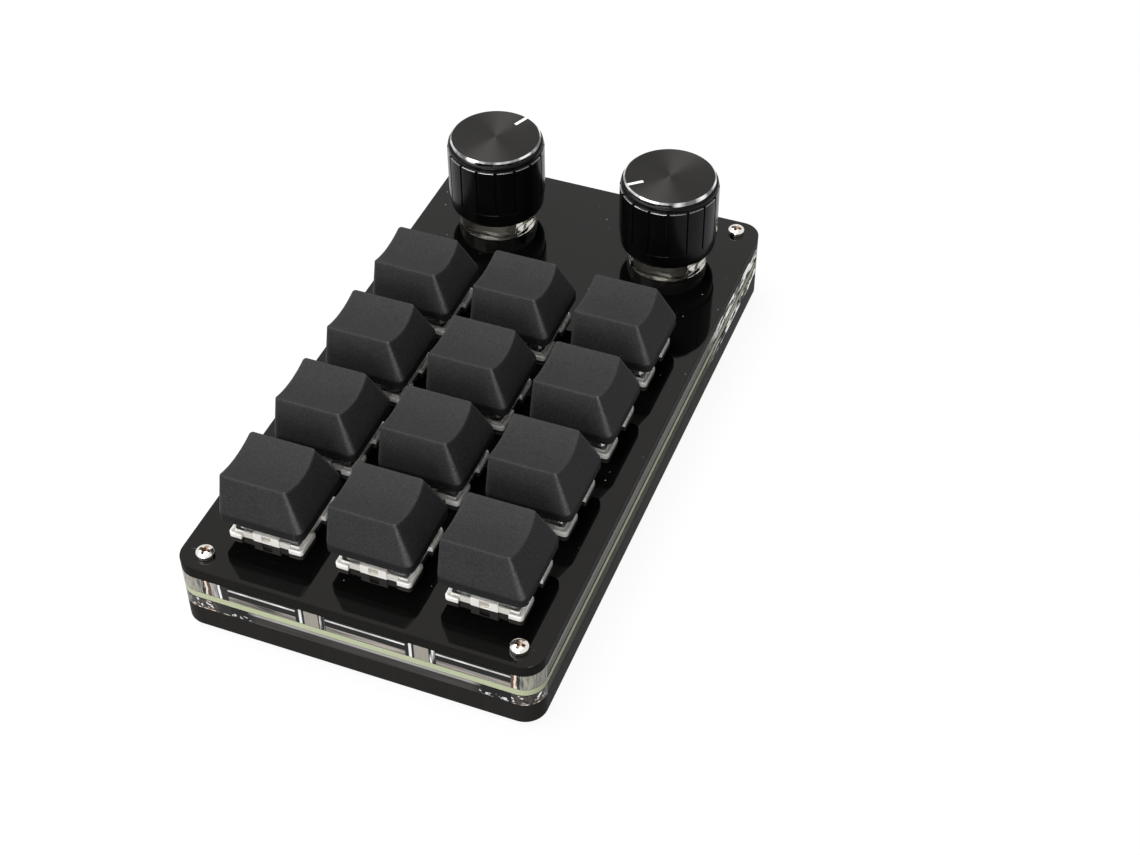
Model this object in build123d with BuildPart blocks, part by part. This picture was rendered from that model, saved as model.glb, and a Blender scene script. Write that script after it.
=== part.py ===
"""Desk macro keypad: a sandwich of flat layers that carries three columns of keys and two push knobs.

Millimetres. The origin is under the middle of the case, where its feet stand. X runs across the key
columns, Y runs from the front row of keys to the knobs, Z is up.
"""

import os
from math import atan2, degrees

from build123d import *

os.makedirs("parts", exist_ok=True)

# Layout of keys and knobs
column_count = 3
row_count = 4
key_distance = 22.8
knob_count = 2
knob_distance = 41.2
knob_row_gap = 34.9
side_margin = 15.0
end_margin = 18.1
corner_radius = 4.5

# Layers of the case, from the desk up
foot_height = 1.2
base_thickness = 5.0
lower_spacer_thickness = 3.0
board_thickness = 1.6
upper_spacer_thickness = 4.0
plate_thickness = 2.5

# Walls and windows of the layers
overrun = 1.0
lower_wall = 5.0
corner_block = 11.5
pocket_room = 1.8
window_room = 0.2
hidden_sides = 6

# Screws, pillars and feet
screw_side_inset = 5.25
screw_end_inset = 4.2
screw_diameter = 2.0
screw_clearance = 0.1
thread_clearance = 0.02
screw_head_diameter = 4.0
screw_head_height = 1.5
screw_head_edge = 0.5
screw_head_sides = 10
screw_grip = 3.2
recess_width = 0.7
recess_span = 2.4
recess_depth = 0.8
pillar_across = 3.2
pillar_sides = 6
pillar_clearance = 0.1
counterbore_room = 0.3
counterbore_depth = 2.0
foot_diameter = 9.0
foot_inset = 11.0
foot_sides = 16

# Key switch housings, measured from the top of the plate
switch_hole = 14.0
switch_fit = 0.05
switch_depth = 5.0
switch_wall = 1.2
switch_floor = 1.1
switch_rise = 1.4
flange_width = 15.6
flange_thickness = 1.0
flange_end_gap = 10.6
flange_side_gap = 4.4
latch_width = 6.4
latch_rise = 1.0
latch_depth = 0.4
cover_top = 6.6
cover_top_width = 9.6
cover_wall = 0.9
cover_roof = 1.0
post_diameter = 4.0
post_length = 3.3
post_floor = 0.8
post_clearance = 0.1
spring_clearance = 0.3
spring_wire = 0.4
spring_sides = 6

# Switch blades that stand through the board
blade_width = 1.3
blade_thickness = 0.3
blade_clearance = 0.05
blade_rise = 2.4
blade_reach = 3.3
blade_hole_room = 0.2
blade_near_offset = 2.54
blade_middle_offset = 3.81
blade_far_offset = 5.08

# Key stems and travel
key_travel = 4.0
stem_length_x = 7.0
stem_length_y = 5.5
stem_clearance = 0.1
stem_lip = 0.5
stem_lip_height = 0.8
stem_stop_gap = 0.05
pole_diameter = 2.4
pole_clearance = 0.1
pole_end_gap = 0.2
cross_span = 4.0
cross_width = 1.2
cross_height = 3.6
cross_clearance = 0.03

# Keycaps
cap_skirt_gap = 5.25
cap_skirt = 2.0
cap_base = 18.1
cap_top_length_x = 14.0
cap_top_length_y = 12.9
cap_top_shift = -1.85
cap_ridge = 0.8
cap_height = 9.8
cap_dish = 1.15
cap_wall = 1.4
cap_roof = 1.5
socket_diameter = 5.0
socket_gap = 0.2

# Rotary encoders, measured from the top of the board
encoder_width = 12.0
encoder_corner = 1.0
encoder_height = 6.8
encoder_base_height = 2.4
encoder_base_floor = 0.6
encoder_wall = 0.8
encoder_roof = 0.6
encoder_well_diameter = 7.0
bushing_wall = 0.45
bushing_sides = 12
bushing_length = 7.0
shaft_diameter = 6.0
shaft_clearance = 0.05
shaft_room = 0.3
shaft_stop_gap = 0.05
shaft_flat_length = 11.0
shaft_flat_depth = 1.5
shaft_shoulder_lip = 1.0
shaft_shoulder_height = 0.6
drive_width = 3.0
drive_clearance = 0.05
press_travel = 0.5
press_gap = 0.1
dome_diameter = 6.0
dome_thickness = 0.25
rotor_diameter = 9.2
rotor_sides = 12
rotor_thickness = 2.2
rotor_gap = 0.05
lead_width = 1.0
lead_thickness = 0.4
lead_distance = 2.5
lead_switch_distance = 5.0
lead_reach = 2.0
lead_rise = 1.2
lead_room = 0.2

# Clear rings round the encoders and the knobs above them
ring_diameter = 18.0
ring_sides = 24
ring_height = 4.5
knob_diameter = 21.9
knob_sides = 32
knob_height = 16.8
knob_lift = 5.75
knob_bottom_edge = 1.6
knob_top_edge = 0.75
knob_top_band = 2.2
knob_bottom_band = 4.0
knob_cavity_diameter = 16.5
knob_cavity_sides = 16
knob_cavity_depth = 4.0
knob_roof = 1.15
knob_bore_clearance = 0.02
knob_shaft_gap = 0.1
grip_count = 16
grip_groove_width = 0.5
grip_groove_depth = 0.35
disc_diameter = 20.4
disc_thickness = 1.0
disc_edge = 0.4
pointer_length = 3.6
pointer_width = 0.8
pointer_depth = 0.15
knob_names = ("left", "right")
pointer_turns = (67.0, 220.0)

# Electronics on the board
usb_width = 8.94
usb_height = 3.16
usb_depth = 7.35
usb_wall = 0.3
usb_back_wall = 0.6
usb_setback = 0.2
usb_room = 0.4
tongue_width = 6.7
tongue_thickness = 0.7
tongue_length = 4.5
chip_width = 7.0
chip_height = 1.4

# Worked out from the sizes above
case_width = (column_count - 1) * key_distance + 2 * side_margin
case_length = (row_count - 1) * key_distance + knob_row_gap + 2 * end_margin
base_z = foot_height
lower_z = base_z + base_thickness
board_z = lower_z + lower_spacer_thickness
upper_z = board_z + board_thickness
plate_z = upper_z + upper_spacer_thickness
deck_z = plate_z + plate_thickness
key_block_y = end_margin + (row_count - 1) * key_distance / 2 - case_length / 2
knob_y = case_length / 2 - end_margin
screw_span_x = case_width - 2 * screw_side_inset
screw_span_y = case_length - 2 * screw_end_inset

switch_body = switch_hole - 2 * switch_fit
switch_pocket = switch_hole + 2 * pocket_room
switch_floor_z = switch_floor - switch_depth
pole_floor_z = post_floor - switch_depth - post_length
pole_bore = pole_diameter + 2 * pole_clearance
spring_bore = pole_bore + 2 * spring_clearance
stem_foot_z = cover_top - cover_roof - stem_stop_gap - stem_lip_height
blade_places = ((-blade_near_offset, -blade_middle_offset), (-blade_far_offset, blade_near_offset))

encoder_window = encoder_width + 2 * window_room
bushing_diameter = shaft_diameter + 2 * (shaft_clearance + bushing_wall)
shaft_shoulder_diameter = shaft_diameter + 2 * shaft_shoulder_lip
encoder_pocket_length = encoder_window + 2 * (pocket_room + lead_thickness)
encoder_cavity = encoder_width - 2 * encoder_wall
dome_z = encoder_base_floor
drive_z = dome_z + dome_thickness + press_gap + press_travel
shoulder_z = encoder_height - encoder_roof - shaft_stop_gap - shaft_shoulder_height
knob_z = deck_z + knob_lift - upper_z
knob_top_z = knob_z + knob_height
seat_z = knob_top_z - disc_thickness
bore_top_z = seat_z - knob_roof
shaft_top_z = bore_top_z - knob_shaft_gap

# Frames that the repeated pieces stand in
key_block = Plane((0, key_block_y, deck_z))
knob_row = Plane((0, knob_y, upper_z))


def layer_outline():
    """Rounded outline that every layer of the case shares."""
    return RectangleRounded(case_width, case_length, corner_radius)


def flat_sided(diameter, sides=hidden_sides, mode=Mode.ADD):
    """Round drawn with flats, each as far from the middle as the round itself."""
    return RegularPolygon(diameter / 2, sides, major_radius=False, mode=mode)


def cut_corner_rectangle(length_x, length_y, corner, mode=Mode.ADD):
    """Rectangle with its corners cut off at 45 degrees."""
    half_x, half_y = length_x / 2, length_y / 2
    cut_x, cut_y = half_x - corner, half_y - corner
    return Polygon((-half_x, -cut_y), (-cut_x, -half_y), (cut_x, -half_y), (half_x, -cut_y),
                   (half_x, cut_y), (cut_x, half_y), (-cut_x, half_y), (-half_x, cut_y),
                   align=None, mode=mode)


def corner_holes(diameter, sides):
    """Cut one hole at each corner screw."""
    with GridLocations(screw_span_x, screw_span_y, 2, 2):
        flat_sided(diameter, sides, mode=Mode.SUBTRACT)


def write(builder, name):
    """Label a finished piece and store it under its own name."""
    builder.part.label = name
    export_step(builder.part, f"parts/{name}.step")


# Base plate, the thick black layer with sunk screw heads
with BuildPart() as base_plate:
    with BuildSketch(Plane.XY.offset(base_z)):
        layer_outline()
        corner_holes(screw_diameter + 2 * screw_clearance, hidden_sides)
    extrude(amount=base_thickness)
    with BuildSketch(Plane.XY.offset(base_z)):
        with GridLocations(screw_span_x, screw_span_y, 2, 2):
            flat_sided(screw_head_diameter + 2 * counterbore_room, screw_head_sides)
    extrude(amount=counterbore_depth, mode=Mode.SUBTRACT)
write(base_plate, "base_plate")

# Four stick-on feet
with BuildPart() as rubber_feet:
    with BuildSketch():
        with GridLocations(case_width - 2 * foot_inset, case_length - 2 * foot_inset, 2, 2):
            flat_sided(foot_diameter, foot_sides)
    extrude(amount=foot_height)
write(rubber_feet, "rubber_feet")

# Lower clear spacer, a frame that leaves room for the solder side of the board
with BuildPart() as lower_spacer:
    with BuildSketch(Plane.XY.offset(lower_z)):
        layer_outline()
        Rectangle(case_width - 2 * lower_wall, case_length - 2 * corner_block, mode=Mode.SUBTRACT)
        Rectangle(case_width - 2 * corner_block, case_length - 2 * lower_wall, mode=Mode.SUBTRACT)
        corner_holes(pillar_across + 2 * pillar_clearance, pillar_sides)
    extrude(amount=lower_spacer_thickness)
write(lower_spacer, "lower_spacer")

# Leads of one encoder, as places on the board: three for the turn, two for the push
lead_row_y = (encoder_width + lead_thickness) / 2
lead_places = [(step * lead_distance, -lead_row_y) for step in (-1, 0, 1)]
lead_places += [(side * lead_switch_distance / 2, lead_row_y) for side in (-1, 1)]

# Circuit board with a hole for each switch post and a slot for each blade and lead
with BuildPart() as circuit_board:
    with BuildSketch(Plane.XY.offset(board_z)):
        layer_outline()
        corner_holes(pillar_across + 2 * pillar_clearance, pillar_sides)
        with Locations((0, key_block_y)):
            with GridLocations(key_distance, key_distance, column_count, row_count):
                flat_sided(post_diameter + 2 * post_clearance, mode=Mode.SUBTRACT)
                with Locations(*blade_places):
                    Rectangle(blade_width + 2 * blade_hole_room, blade_thickness + 2 * blade_hole_room,
                              mode=Mode.SUBTRACT)
        with Locations((0, knob_y)):
            with GridLocations(knob_distance, knob_distance, knob_count, 1):
                with Locations(*lead_places):
                    Rectangle(lead_width + 2 * lead_room, lead_thickness + 2 * lead_room, mode=Mode.SUBTRACT)
    extrude(amount=board_thickness)
write(circuit_board, "circuit_board")

# Upper clear spacer: one long pocket per key column, a window per encoder, a notch for the socket
with BuildPart() as upper_spacer:
    with BuildSketch(Plane.XY.offset(upper_z)):
        layer_outline()
        corner_holes(pillar_across + 2 * pillar_clearance, pillar_sides)
        with Locations((0, key_block_y)):
            with GridLocations(key_distance, key_distance, column_count, 1):
                Rectangle(switch_pocket, (row_count - 1) * key_distance + switch_pocket, mode=Mode.SUBTRACT)
        with Locations((0, knob_y)):
            with GridLocations(knob_distance, knob_distance, knob_count, 1):
                Rectangle(encoder_window + 2 * pocket_room, encoder_pocket_length, mode=Mode.SUBTRACT)
        with Locations((0, case_length / 2)):
            Rectangle(usb_width + 2 * usb_room, 2 * (usb_depth + usb_setback + usb_room), mode=Mode.SUBTRACT)
    extrude(amount=upper_spacer_thickness)
write(upper_spacer, "upper_spacer")

# Top plate that the switches clip into
with BuildPart() as top_plate:
    with BuildSketch(Plane.XY.offset(plate_z)):
        layer_outline()
        corner_holes(screw_diameter + 2 * screw_clearance, hidden_sides)
        with Locations((0, key_block_y)):
            with GridLocations(key_distance, key_distance, column_count, row_count):
                Rectangle(switch_hole, switch_hole, mode=Mode.SUBTRACT)
        with Locations((0, knob_y)):
            with GridLocations(knob_distance, knob_distance, knob_count, 1):
                cut_corner_rectangle(encoder_window, encoder_window, encoder_corner, mode=Mode.SUBTRACT)
    extrude(amount=plate_thickness)
write(top_plate, "top_plate")

# Threaded brass pillars that hold the layers apart at the corners
with BuildPart() as pillars:
    with BuildSketch(Plane.XY.offset(lower_z)):
        with GridLocations(screw_span_x, screw_span_y, 2, 2):
            flat_sided(pillar_across, pillar_sides)
            flat_sided(screw_diameter + 2 * thread_clearance, mode=Mode.SUBTRACT)
    extrude(amount=plate_z - lower_z)
write(pillars, "pillars")


def screw_form(shank_length):
    """One pan-head screw standing on its shank, with the underside of its head at the origin."""
    with BuildPart() as screw:
        with BuildSketch():
            flat_sided(screw_head_diameter, screw_head_sides)
        extrude(amount=screw_head_height)
        chamfer(screw.faces().sort_by(Axis.Z)[-1].edges(), screw_head_edge)
        with BuildSketch():
            flat_sided(screw_diameter)
        extrude(amount=-shank_length)
        with BuildSketch(Plane.XY.offset(screw_head_height)):
            Rectangle(recess_span, recess_width)
            Rectangle(recess_width, recess_span)
        extrude(amount=-recess_depth, mode=Mode.SUBTRACT)
    return screw.part


# Screws into the tops of the pillars
top_screw = screw_form(plate_thickness + screw_grip)
with BuildPart(Plane.XY.offset(deck_z)) as top_screws:
    with GridLocations(screw_span_x, screw_span_y, 2, 2):
        add(top_screw)
write(top_screws, "top_screws")

# Screws into the bottoms of the pillars, with their heads up in the base plate
base_screw = screw_form(base_thickness - counterbore_depth + screw_grip)
with BuildPart(Plane((0, 0, base_z + counterbore_depth), z_dir=(0, 0, -1))) as base_screws:
    with GridLocations(screw_span_x, screw_span_y, 2, 2):
        add(base_screw)
write(base_screws, "base_screws")

# Lower housing of one switch: flange feet on the plate, body below it, hollow for stem and spring
with BuildPart() as switch_base_form:
    with BuildSketch(Plane.XY.offset(-switch_depth)):
        Rectangle(switch_body, switch_body)
    extrude(amount=switch_depth + switch_rise)
    with BuildSketch():
        Rectangle(flange_width, flange_width)
        Rectangle(flange_end_gap, flange_width + overrun, mode=Mode.SUBTRACT)
        Rectangle(flange_width + overrun, flange_side_gap, mode=Mode.SUBTRACT)
    extrude(amount=flange_thickness)
    with BuildSketch():
        Rectangle(latch_width, switch_body + 2 * latch_depth)
    extrude(amount=switch_rise + latch_rise)
    with BuildSketch(Plane.XY.offset(switch_rise)):
        Rectangle(switch_body, switch_body)
    extrude(amount=latch_rise, mode=Mode.SUBTRACT)
    with BuildSketch(Plane.XY.offset(switch_floor_z)):
        Rectangle(switch_body - 2 * switch_wall, switch_body - 2 * switch_wall)
    extrude(amount=switch_rise - switch_floor_z, mode=Mode.SUBTRACT)
    with BuildSketch(Plane.XY.offset(-switch_depth)):
        flat_sided(post_diameter)
    extrude(amount=-post_length)
    with BuildSketch(Plane.XY.offset(pole_floor_z)):
        flat_sided(pole_bore)
    extrude(amount=switch_floor_z - pole_floor_z, mode=Mode.SUBTRACT)
    with BuildSketch(Plane.XY.offset(-switch_depth)):
        with Locations(*blade_places):
            Rectangle(blade_width + 2 * blade_clearance, blade_thickness + 2 * blade_clearance)
    extrude(amount=switch_floor, mode=Mode.SUBTRACT)

# Upper housing of one switch: a clear tapered hood with an opening for the stem
cover_height = cover_top - switch_rise
cover_taper = degrees(atan2((switch_body - cover_top_width) / 2, cover_height))
with BuildPart() as switch_cover_form:
    with BuildSketch(Plane.XY.offset(switch_rise)):
        Rectangle(switch_body, switch_body)
    extrude(amount=cover_height, taper=cover_taper)
    with BuildSketch(Plane.XY.offset(switch_rise)):
        Rectangle(switch_body - 2 * cover_wall, switch_body - 2 * cover_wall)
    extrude(amount=cover_height - cover_roof, taper=cover_taper, mode=Mode.SUBTRACT)
    with BuildSketch(Plane.XY.offset(cover_top - cover_roof)):
        Rectangle(stem_length_x + 2 * stem_clearance, stem_length_y + 2 * stem_clearance)
    extrude(amount=cover_roof, mode=Mode.SUBTRACT)

# Return spring of one switch, as the sleeve that its turns fill
with BuildPart() as switch_spring_form:
    with BuildSketch(Plane.XY.offset(switch_floor_z)):
        flat_sided(spring_bore + 2 * spring_wire, spring_sides)
        flat_sided(spring_bore, spring_sides, mode=Mode.SUBTRACT)
    extrude(amount=stem_foot_z - stem_clearance - switch_floor_z)

# Contact blades of one switch: from the inside, down through the floor and the board
with BuildPart() as switch_blade_form:
    with BuildSketch(Plane.XY.offset(-switch_depth - blade_reach)):
        with Locations(*blade_places):
            Rectangle(blade_width, blade_thickness)
    extrude(amount=blade_reach + switch_floor + blade_rise)

# Fixed pieces of all switches
for form, name in (
    (switch_base_form, "switch_bases"),
    (switch_cover_form, "switch_covers"),
    (switch_spring_form, "switch_springs"),
    (switch_blade_form, "switch_blades"),
):
    with BuildPart(key_block) as switch_group:
        with GridLocations(key_distance, key_distance, column_count, row_count):
            add(form.part)
    write(switch_group, name)

# Stem of one key: cross for the cap, body in the hood's opening, lip that stops it, pole for the spring
pole_end_z = pole_floor_z + key_travel + pole_end_gap
with BuildPart() as stem_form:
    with BuildSketch(Plane.XY.offset(stem_foot_z)):
        Rectangle(stem_length_x, stem_length_y)
    extrude(amount=cover_top - stem_foot_z)
    with BuildSketch(Plane.XY.offset(stem_foot_z)):
        Rectangle(stem_length_x + 2 * stem_lip, stem_length_y + 2 * stem_lip)
    extrude(amount=stem_lip_height)
    with BuildSketch(Plane.XY.offset(cover_top)):
        Rectangle(cross_span, cross_width)
        Rectangle(cross_width, cross_span)
    extrude(amount=cross_height)
    with BuildSketch(Plane.XY.offset(pole_end_z)):
        flat_sided(pole_diameter)
    extrude(amount=stem_foot_z - pole_end_z)


def leaning_block(base, top_x, top_y, shift, height):
    """Block on the bend of a cap's walls: square below, smaller and moved along X at its top."""
    top_z = cap_bend_z + height
    with BuildPart() as block:
        with BuildSketch(Plane.XZ.offset(-base / 2)):
            Polygon((-base / 2, cap_bend_z), (base / 2, cap_bend_z), (shift + top_x / 2, top_z),
                    (shift - top_x / 2, top_z), align=None)
        extrude(amount=base)
        with BuildSketch(Plane.YZ.offset(-base / 2)):
            Polygon((-base / 2, cap_bend_z), (base / 2, cap_bend_z), (top_y / 2, top_z),
                    (-top_y / 2, top_z), align=None)
        extrude(amount=base, mode=Mode.INTERSECT)
    return block.part


# One keycap: tapered shell on an upright skirt, leaning to one side, with a dished top and a socket for the cross
cap_bend_z = cap_skirt_gap + cap_skirt
cap_lean_height = cap_height - cap_skirt
cap_roof_rise = cap_lean_height - cap_dish - cap_roof
cap_roof_share = cap_roof_rise / cap_lean_height
cap_roof_length_x = cap_base + (cap_top_length_x - cap_base) * cap_roof_share
cap_roof_length_y = cap_base + (cap_top_length_y - cap_base) * cap_roof_share
dish_radius = (cap_top_length_y**2 / 4 + cap_dish**2) / (2 * cap_dish)
cap_top_z = cap_skirt_gap + cap_height
cap_roof_z = cap_bend_z + cap_roof_rise
cap_mouth = cap_base - 2 * cap_wall
socket_z = cover_top + socket_gap
cap_cavity = leaning_block(cap_mouth, cap_roof_length_x - 2 * cap_wall, cap_roof_length_y - 2 * cap_wall,
                           cap_top_shift * cap_roof_share, cap_roof_rise)
with BuildPart() as keycap_form:
    add(leaning_block(cap_base, cap_top_length_x, cap_top_length_y, cap_top_shift, cap_lean_height))
    ridges = keycap_form.edges().filter_by(lambda edge: edge.bounding_box().size.Z > cap_lean_height / 2)
    chamfer(ridges, cap_ridge)
    extrude(keycap_form.faces().sort_by(Axis.Z)[0], amount=cap_skirt)
    with BuildSketch(Plane.YZ.offset(-cap_base)):
        with Locations((0, cap_top_z - cap_dish + dish_radius)):
            Circle(dish_radius)
    extrude(amount=2 * cap_base, mode=Mode.SUBTRACT)
    add(cap_cavity, mode=Mode.SUBTRACT)
    with BuildSketch(Plane.XY.offset(cap_skirt_gap)):
        Rectangle(cap_mouth, cap_mouth)
    extrude(amount=cap_skirt, mode=Mode.SUBTRACT)
    with BuildSketch(Plane.XY.offset(socket_z)):
        flat_sided(socket_diameter)
    extrude(amount=cap_roof_z - socket_z)
    with BuildSketch(Plane.XY.offset(socket_z)):
        Rectangle(cross_span + 2 * cross_clearance, cross_width + 2 * cross_clearance)
        Rectangle(cross_width + 2 * cross_clearance, cross_span + 2 * cross_clearance)
    extrude(amount=cover_top + cross_height + cross_clearance - socket_z, mode=Mode.SUBTRACT)

# A cap and a stem for every key, row by row from the front
for row in range(row_count):
    for column in range(column_count):
        key_name = f"r{row + 1}c{column + 1}"
        key_x = (column - (column_count - 1) / 2) * key_distance
        key_y = (row - (row_count - 1) / 2) * key_distance
        with BuildPart(key_block) as stem:
            with Locations((key_x, key_y)):
                add(stem_form.part)
        write(stem, f"stem_{key_name}")
        with BuildPart(key_block) as keycap:
            with Locations((key_x, key_y)):
                add(keycap_form.part)
        write(keycap, f"keycap_{key_name}")

# Plastic base of one encoder, with a well for the push dome
with BuildPart() as encoder_base_form:
    with BuildSketch():
        cut_corner_rectangle(encoder_width, encoder_width, encoder_corner)
    extrude(amount=encoder_base_height)
    with BuildSketch(Plane.XY.offset(encoder_base_floor)):
        flat_sided(encoder_well_diameter)
    extrude(amount=encoder_base_height - encoder_base_floor, mode=Mode.SUBTRACT)

# Metal case of one encoder
with BuildPart() as encoder_case_form:
    with BuildSketch(Plane.XY.offset(encoder_base_height)):
        cut_corner_rectangle(encoder_width, encoder_width, encoder_corner)
    extrude(amount=encoder_height - encoder_base_height)
    with BuildSketch(Plane.XY.offset(encoder_base_height)):
        cut_corner_rectangle(encoder_cavity, encoder_cavity, encoder_corner)
    extrude(amount=encoder_height - encoder_roof - encoder_base_height, mode=Mode.SUBTRACT)
    with BuildSketch(Plane.XY.offset(encoder_height - encoder_roof)):
        flat_sided(shaft_diameter + 2 * shaft_room)
    extrude(amount=encoder_roof, mode=Mode.SUBTRACT)

# Bushing that the shaft turns in
with BuildPart() as encoder_bushing_form:
    with BuildSketch(Plane.XY.offset(encoder_height)):
        flat_sided(bushing_diameter, bushing_sides)
        flat_sided(shaft_diameter + 2 * shaft_clearance, bushing_sides, mode=Mode.SUBTRACT)
    extrude(amount=bushing_length)

# Snap dome under the shaft
with BuildPart() as encoder_dome_form:
    with BuildSketch(Plane.XY.offset(dome_z)):
        flat_sided(dome_diameter)
    extrude(amount=dome_thickness)

# Leads of one encoder, down from the sides of its base through the board
with BuildPart() as encoder_lead_form:
    with BuildSketch(Plane.XY.offset(-lead_reach)):
        with Locations(*lead_places):
            Rectangle(lead_width, lead_thickness)
    extrude(amount=lead_reach + lead_rise)

# Clear ring that stands on the plate round one encoder
with BuildPart() as knob_ring_form:
    with BuildSketch(Plane.XY.offset(deck_z - upper_z)):
        flat_sided(ring_diameter, ring_sides)
        cut_corner_rectangle(encoder_window, encoder_window, encoder_corner, mode=Mode.SUBTRACT)
    extrude(amount=ring_height)

# Fixed pieces of both encoders
for form, name in (
    (encoder_base_form, "encoder_bases"),
    (encoder_case_form, "encoder_cases"),
    (encoder_bushing_form, "encoder_bushings"),
    (encoder_dome_form, "encoder_domes"),
    (encoder_lead_form, "encoder_leads"),
    (knob_ring_form, "knob_rings"),
):
    with BuildPart(knob_row) as encoder_group:
        with GridLocations(knob_distance, knob_distance, knob_count, 1):
            add(form.part)
    write(encoder_group, name)

# Rotor of one encoder: turns with the square drive of the shaft and lets it slide
rotor_z = encoder_base_height + rotor_gap
with BuildPart() as rotor_form:
    with BuildSketch(Plane.XY.offset(rotor_z)):
        flat_sided(rotor_diameter, rotor_sides)
        Rectangle(drive_width + 2 * drive_clearance, drive_width + 2 * drive_clearance, mode=Mode.SUBTRACT)
    extrude(amount=rotor_thickness)

# Shaft of one encoder: square drive below, shoulder under the case, flat at the top
flat_z = shaft_top_z - shaft_flat_length
flat_x = shaft_diameter / 2 - shaft_flat_depth
with BuildPart() as shaft_form:
    with BuildSketch(Plane.XY.offset(drive_z)):
        Rectangle(drive_width, drive_width)
    extrude(amount=shoulder_z - drive_z)
    with BuildSketch(Plane.XY.offset(shoulder_z)):
        flat_sided(shaft_shoulder_diameter)
    extrude(amount=shaft_shoulder_height)
    with BuildSketch(Plane.XY.offset(shoulder_z)):
        Circle(shaft_diameter / 2)
    extrude(amount=shaft_top_z - shoulder_z)
    with BuildSketch(Plane.XY.offset(flat_z)):
        with Locations((flat_x, 0)):
            Rectangle(shaft_diameter, shaft_diameter + overrun, align=(Align.MIN, Align.CENTER))
    extrude(amount=shaft_flat_length, mode=Mode.SUBTRACT)

# Body of one knob: turned form, hollow below, a bore for the shaft, raised grips round the side
knob_radius = knob_diameter / 2
grip_top_z = knob_top_z - knob_top_band
grip_foot_z = knob_z + knob_bottom_band
with BuildPart() as knob_body_form:
    with BuildSketch(Plane.XY.offset(knob_z)):
        flat_sided(knob_diameter, knob_sides)
    extrude(amount=seat_z - knob_z)
    chamfer(knob_body_form.faces().sort_by(Axis.Z)[0].edges(), knob_bottom_edge)
    chamfer(knob_body_form.faces().sort_by(Axis.Z)[-1].edges(), knob_top_edge)
    with BuildSketch(Plane.XY.offset(knob_z)):
        flat_sided(knob_cavity_diameter, knob_cavity_sides)
    extrude(amount=knob_cavity_depth, mode=Mode.SUBTRACT)
    with BuildSketch(Plane.XY.offset(knob_z + knob_cavity_depth)):
        Circle(shaft_diameter / 2 + knob_bore_clearance)
        with Locations((flat_x + knob_bore_clearance, 0)):
            Rectangle(shaft_diameter, shaft_diameter + overrun, align=(Align.MIN, Align.CENTER),
                      mode=Mode.SUBTRACT)
    extrude(amount=bore_top_z - knob_z - knob_cavity_depth, mode=Mode.SUBTRACT)
    with BuildSketch(Plane.XY.offset(grip_foot_z)):
        with PolarLocations(knob_radius, grip_count):
            Rectangle(2 * grip_groove_depth, grip_groove_width)
    extrude(amount=grip_top_z - grip_foot_z, mode=Mode.SUBTRACT)

# Metal disc on the top of one knob, with a turned bright edge and a groove for its pointer
with BuildPart() as knob_disc_form:
    with BuildSketch(Plane.XY.offset(seat_z)):
        flat_sided(disc_diameter, knob_sides)
    extrude(amount=disc_thickness)
    chamfer(knob_disc_form.faces().sort_by(Axis.Z)[-1].edges(), disc_edge)
    with BuildSketch(Plane.XY.offset(knob_top_z)):
        with Locations((disc_diameter / 2 - disc_edge, 0)):
            Rectangle(pointer_length, pointer_width, align=(Align.MAX, Align.CENTER))
    extrude(amount=-pointer_depth, mode=Mode.SUBTRACT)

# Moving pieces of each knob, turned so that its pointer shows where it stands
for index, knob_name in enumerate(knob_names):
    knob_x = (index - (knob_count - 1) / 2) * knob_distance
    for form, name in (
        (rotor_form, "encoder_rotor"),
        (shaft_form, "encoder_shaft"),
        (knob_body_form, "knob_body"),
        (knob_disc_form, "knob_disc"),
    ):
        with BuildPart(knob_row) as knob_piece:
            with Locations(Location((knob_x, 0, 0), (0, 0, pointer_turns[index]))):
                add(form.part)
        write(knob_piece, f"{name}_{knob_name}")

# Socket for the lead in the back edge: a metal shell round a tongue, standing on the board
usb_front_y = case_length / 2 - usb_setback
usb_axis_z = upper_z + usb_height / 2
with BuildPart() as usb_shell:
    with BuildSketch(Plane.XZ.offset(-usb_front_y)):
        with Locations((0, usb_axis_z)):
            SlotOverall(usb_width, usb_height)
    extrude(amount=usb_depth)
    with BuildSketch(Plane.XZ.offset(-usb_front_y)):
        with Locations((0, usb_axis_z)):
            SlotOverall(usb_width - 2 * usb_wall, usb_height - 2 * usb_wall)
    extrude(amount=usb_depth - usb_back_wall, mode=Mode.SUBTRACT)
write(usb_shell, "usb_shell")

usb_back_y = usb_front_y - usb_depth + usb_back_wall
with BuildPart() as usb_tongue:
    with BuildSketch(Plane.XZ.offset(-usb_back_y)):
        with Locations((0, usb_axis_z)):
            Rectangle(tongue_width, tongue_thickness)
    extrude(amount=-tongue_length)
write(usb_tongue, "usb_tongue")

# Controller chip under the board, between the encoders
chip_plane = Plane((0, knob_y, board_z), z_dir=(0, 0, -1))
with BuildPart() as controller_chip:
    with BuildSketch(chip_plane):
        Rectangle(chip_width, chip_width)
    extrude(amount=chip_height)
write(controller_chip, "controller_chip")
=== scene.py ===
"""Looks of the desk macro keypad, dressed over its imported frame. The tables of sizes are in millimetres."""

from math import cos, exp, hypot, pi, radians, sin, sqrt, tau

import bmesh
import bpy
from mathutils import Matrix, Vector


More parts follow.
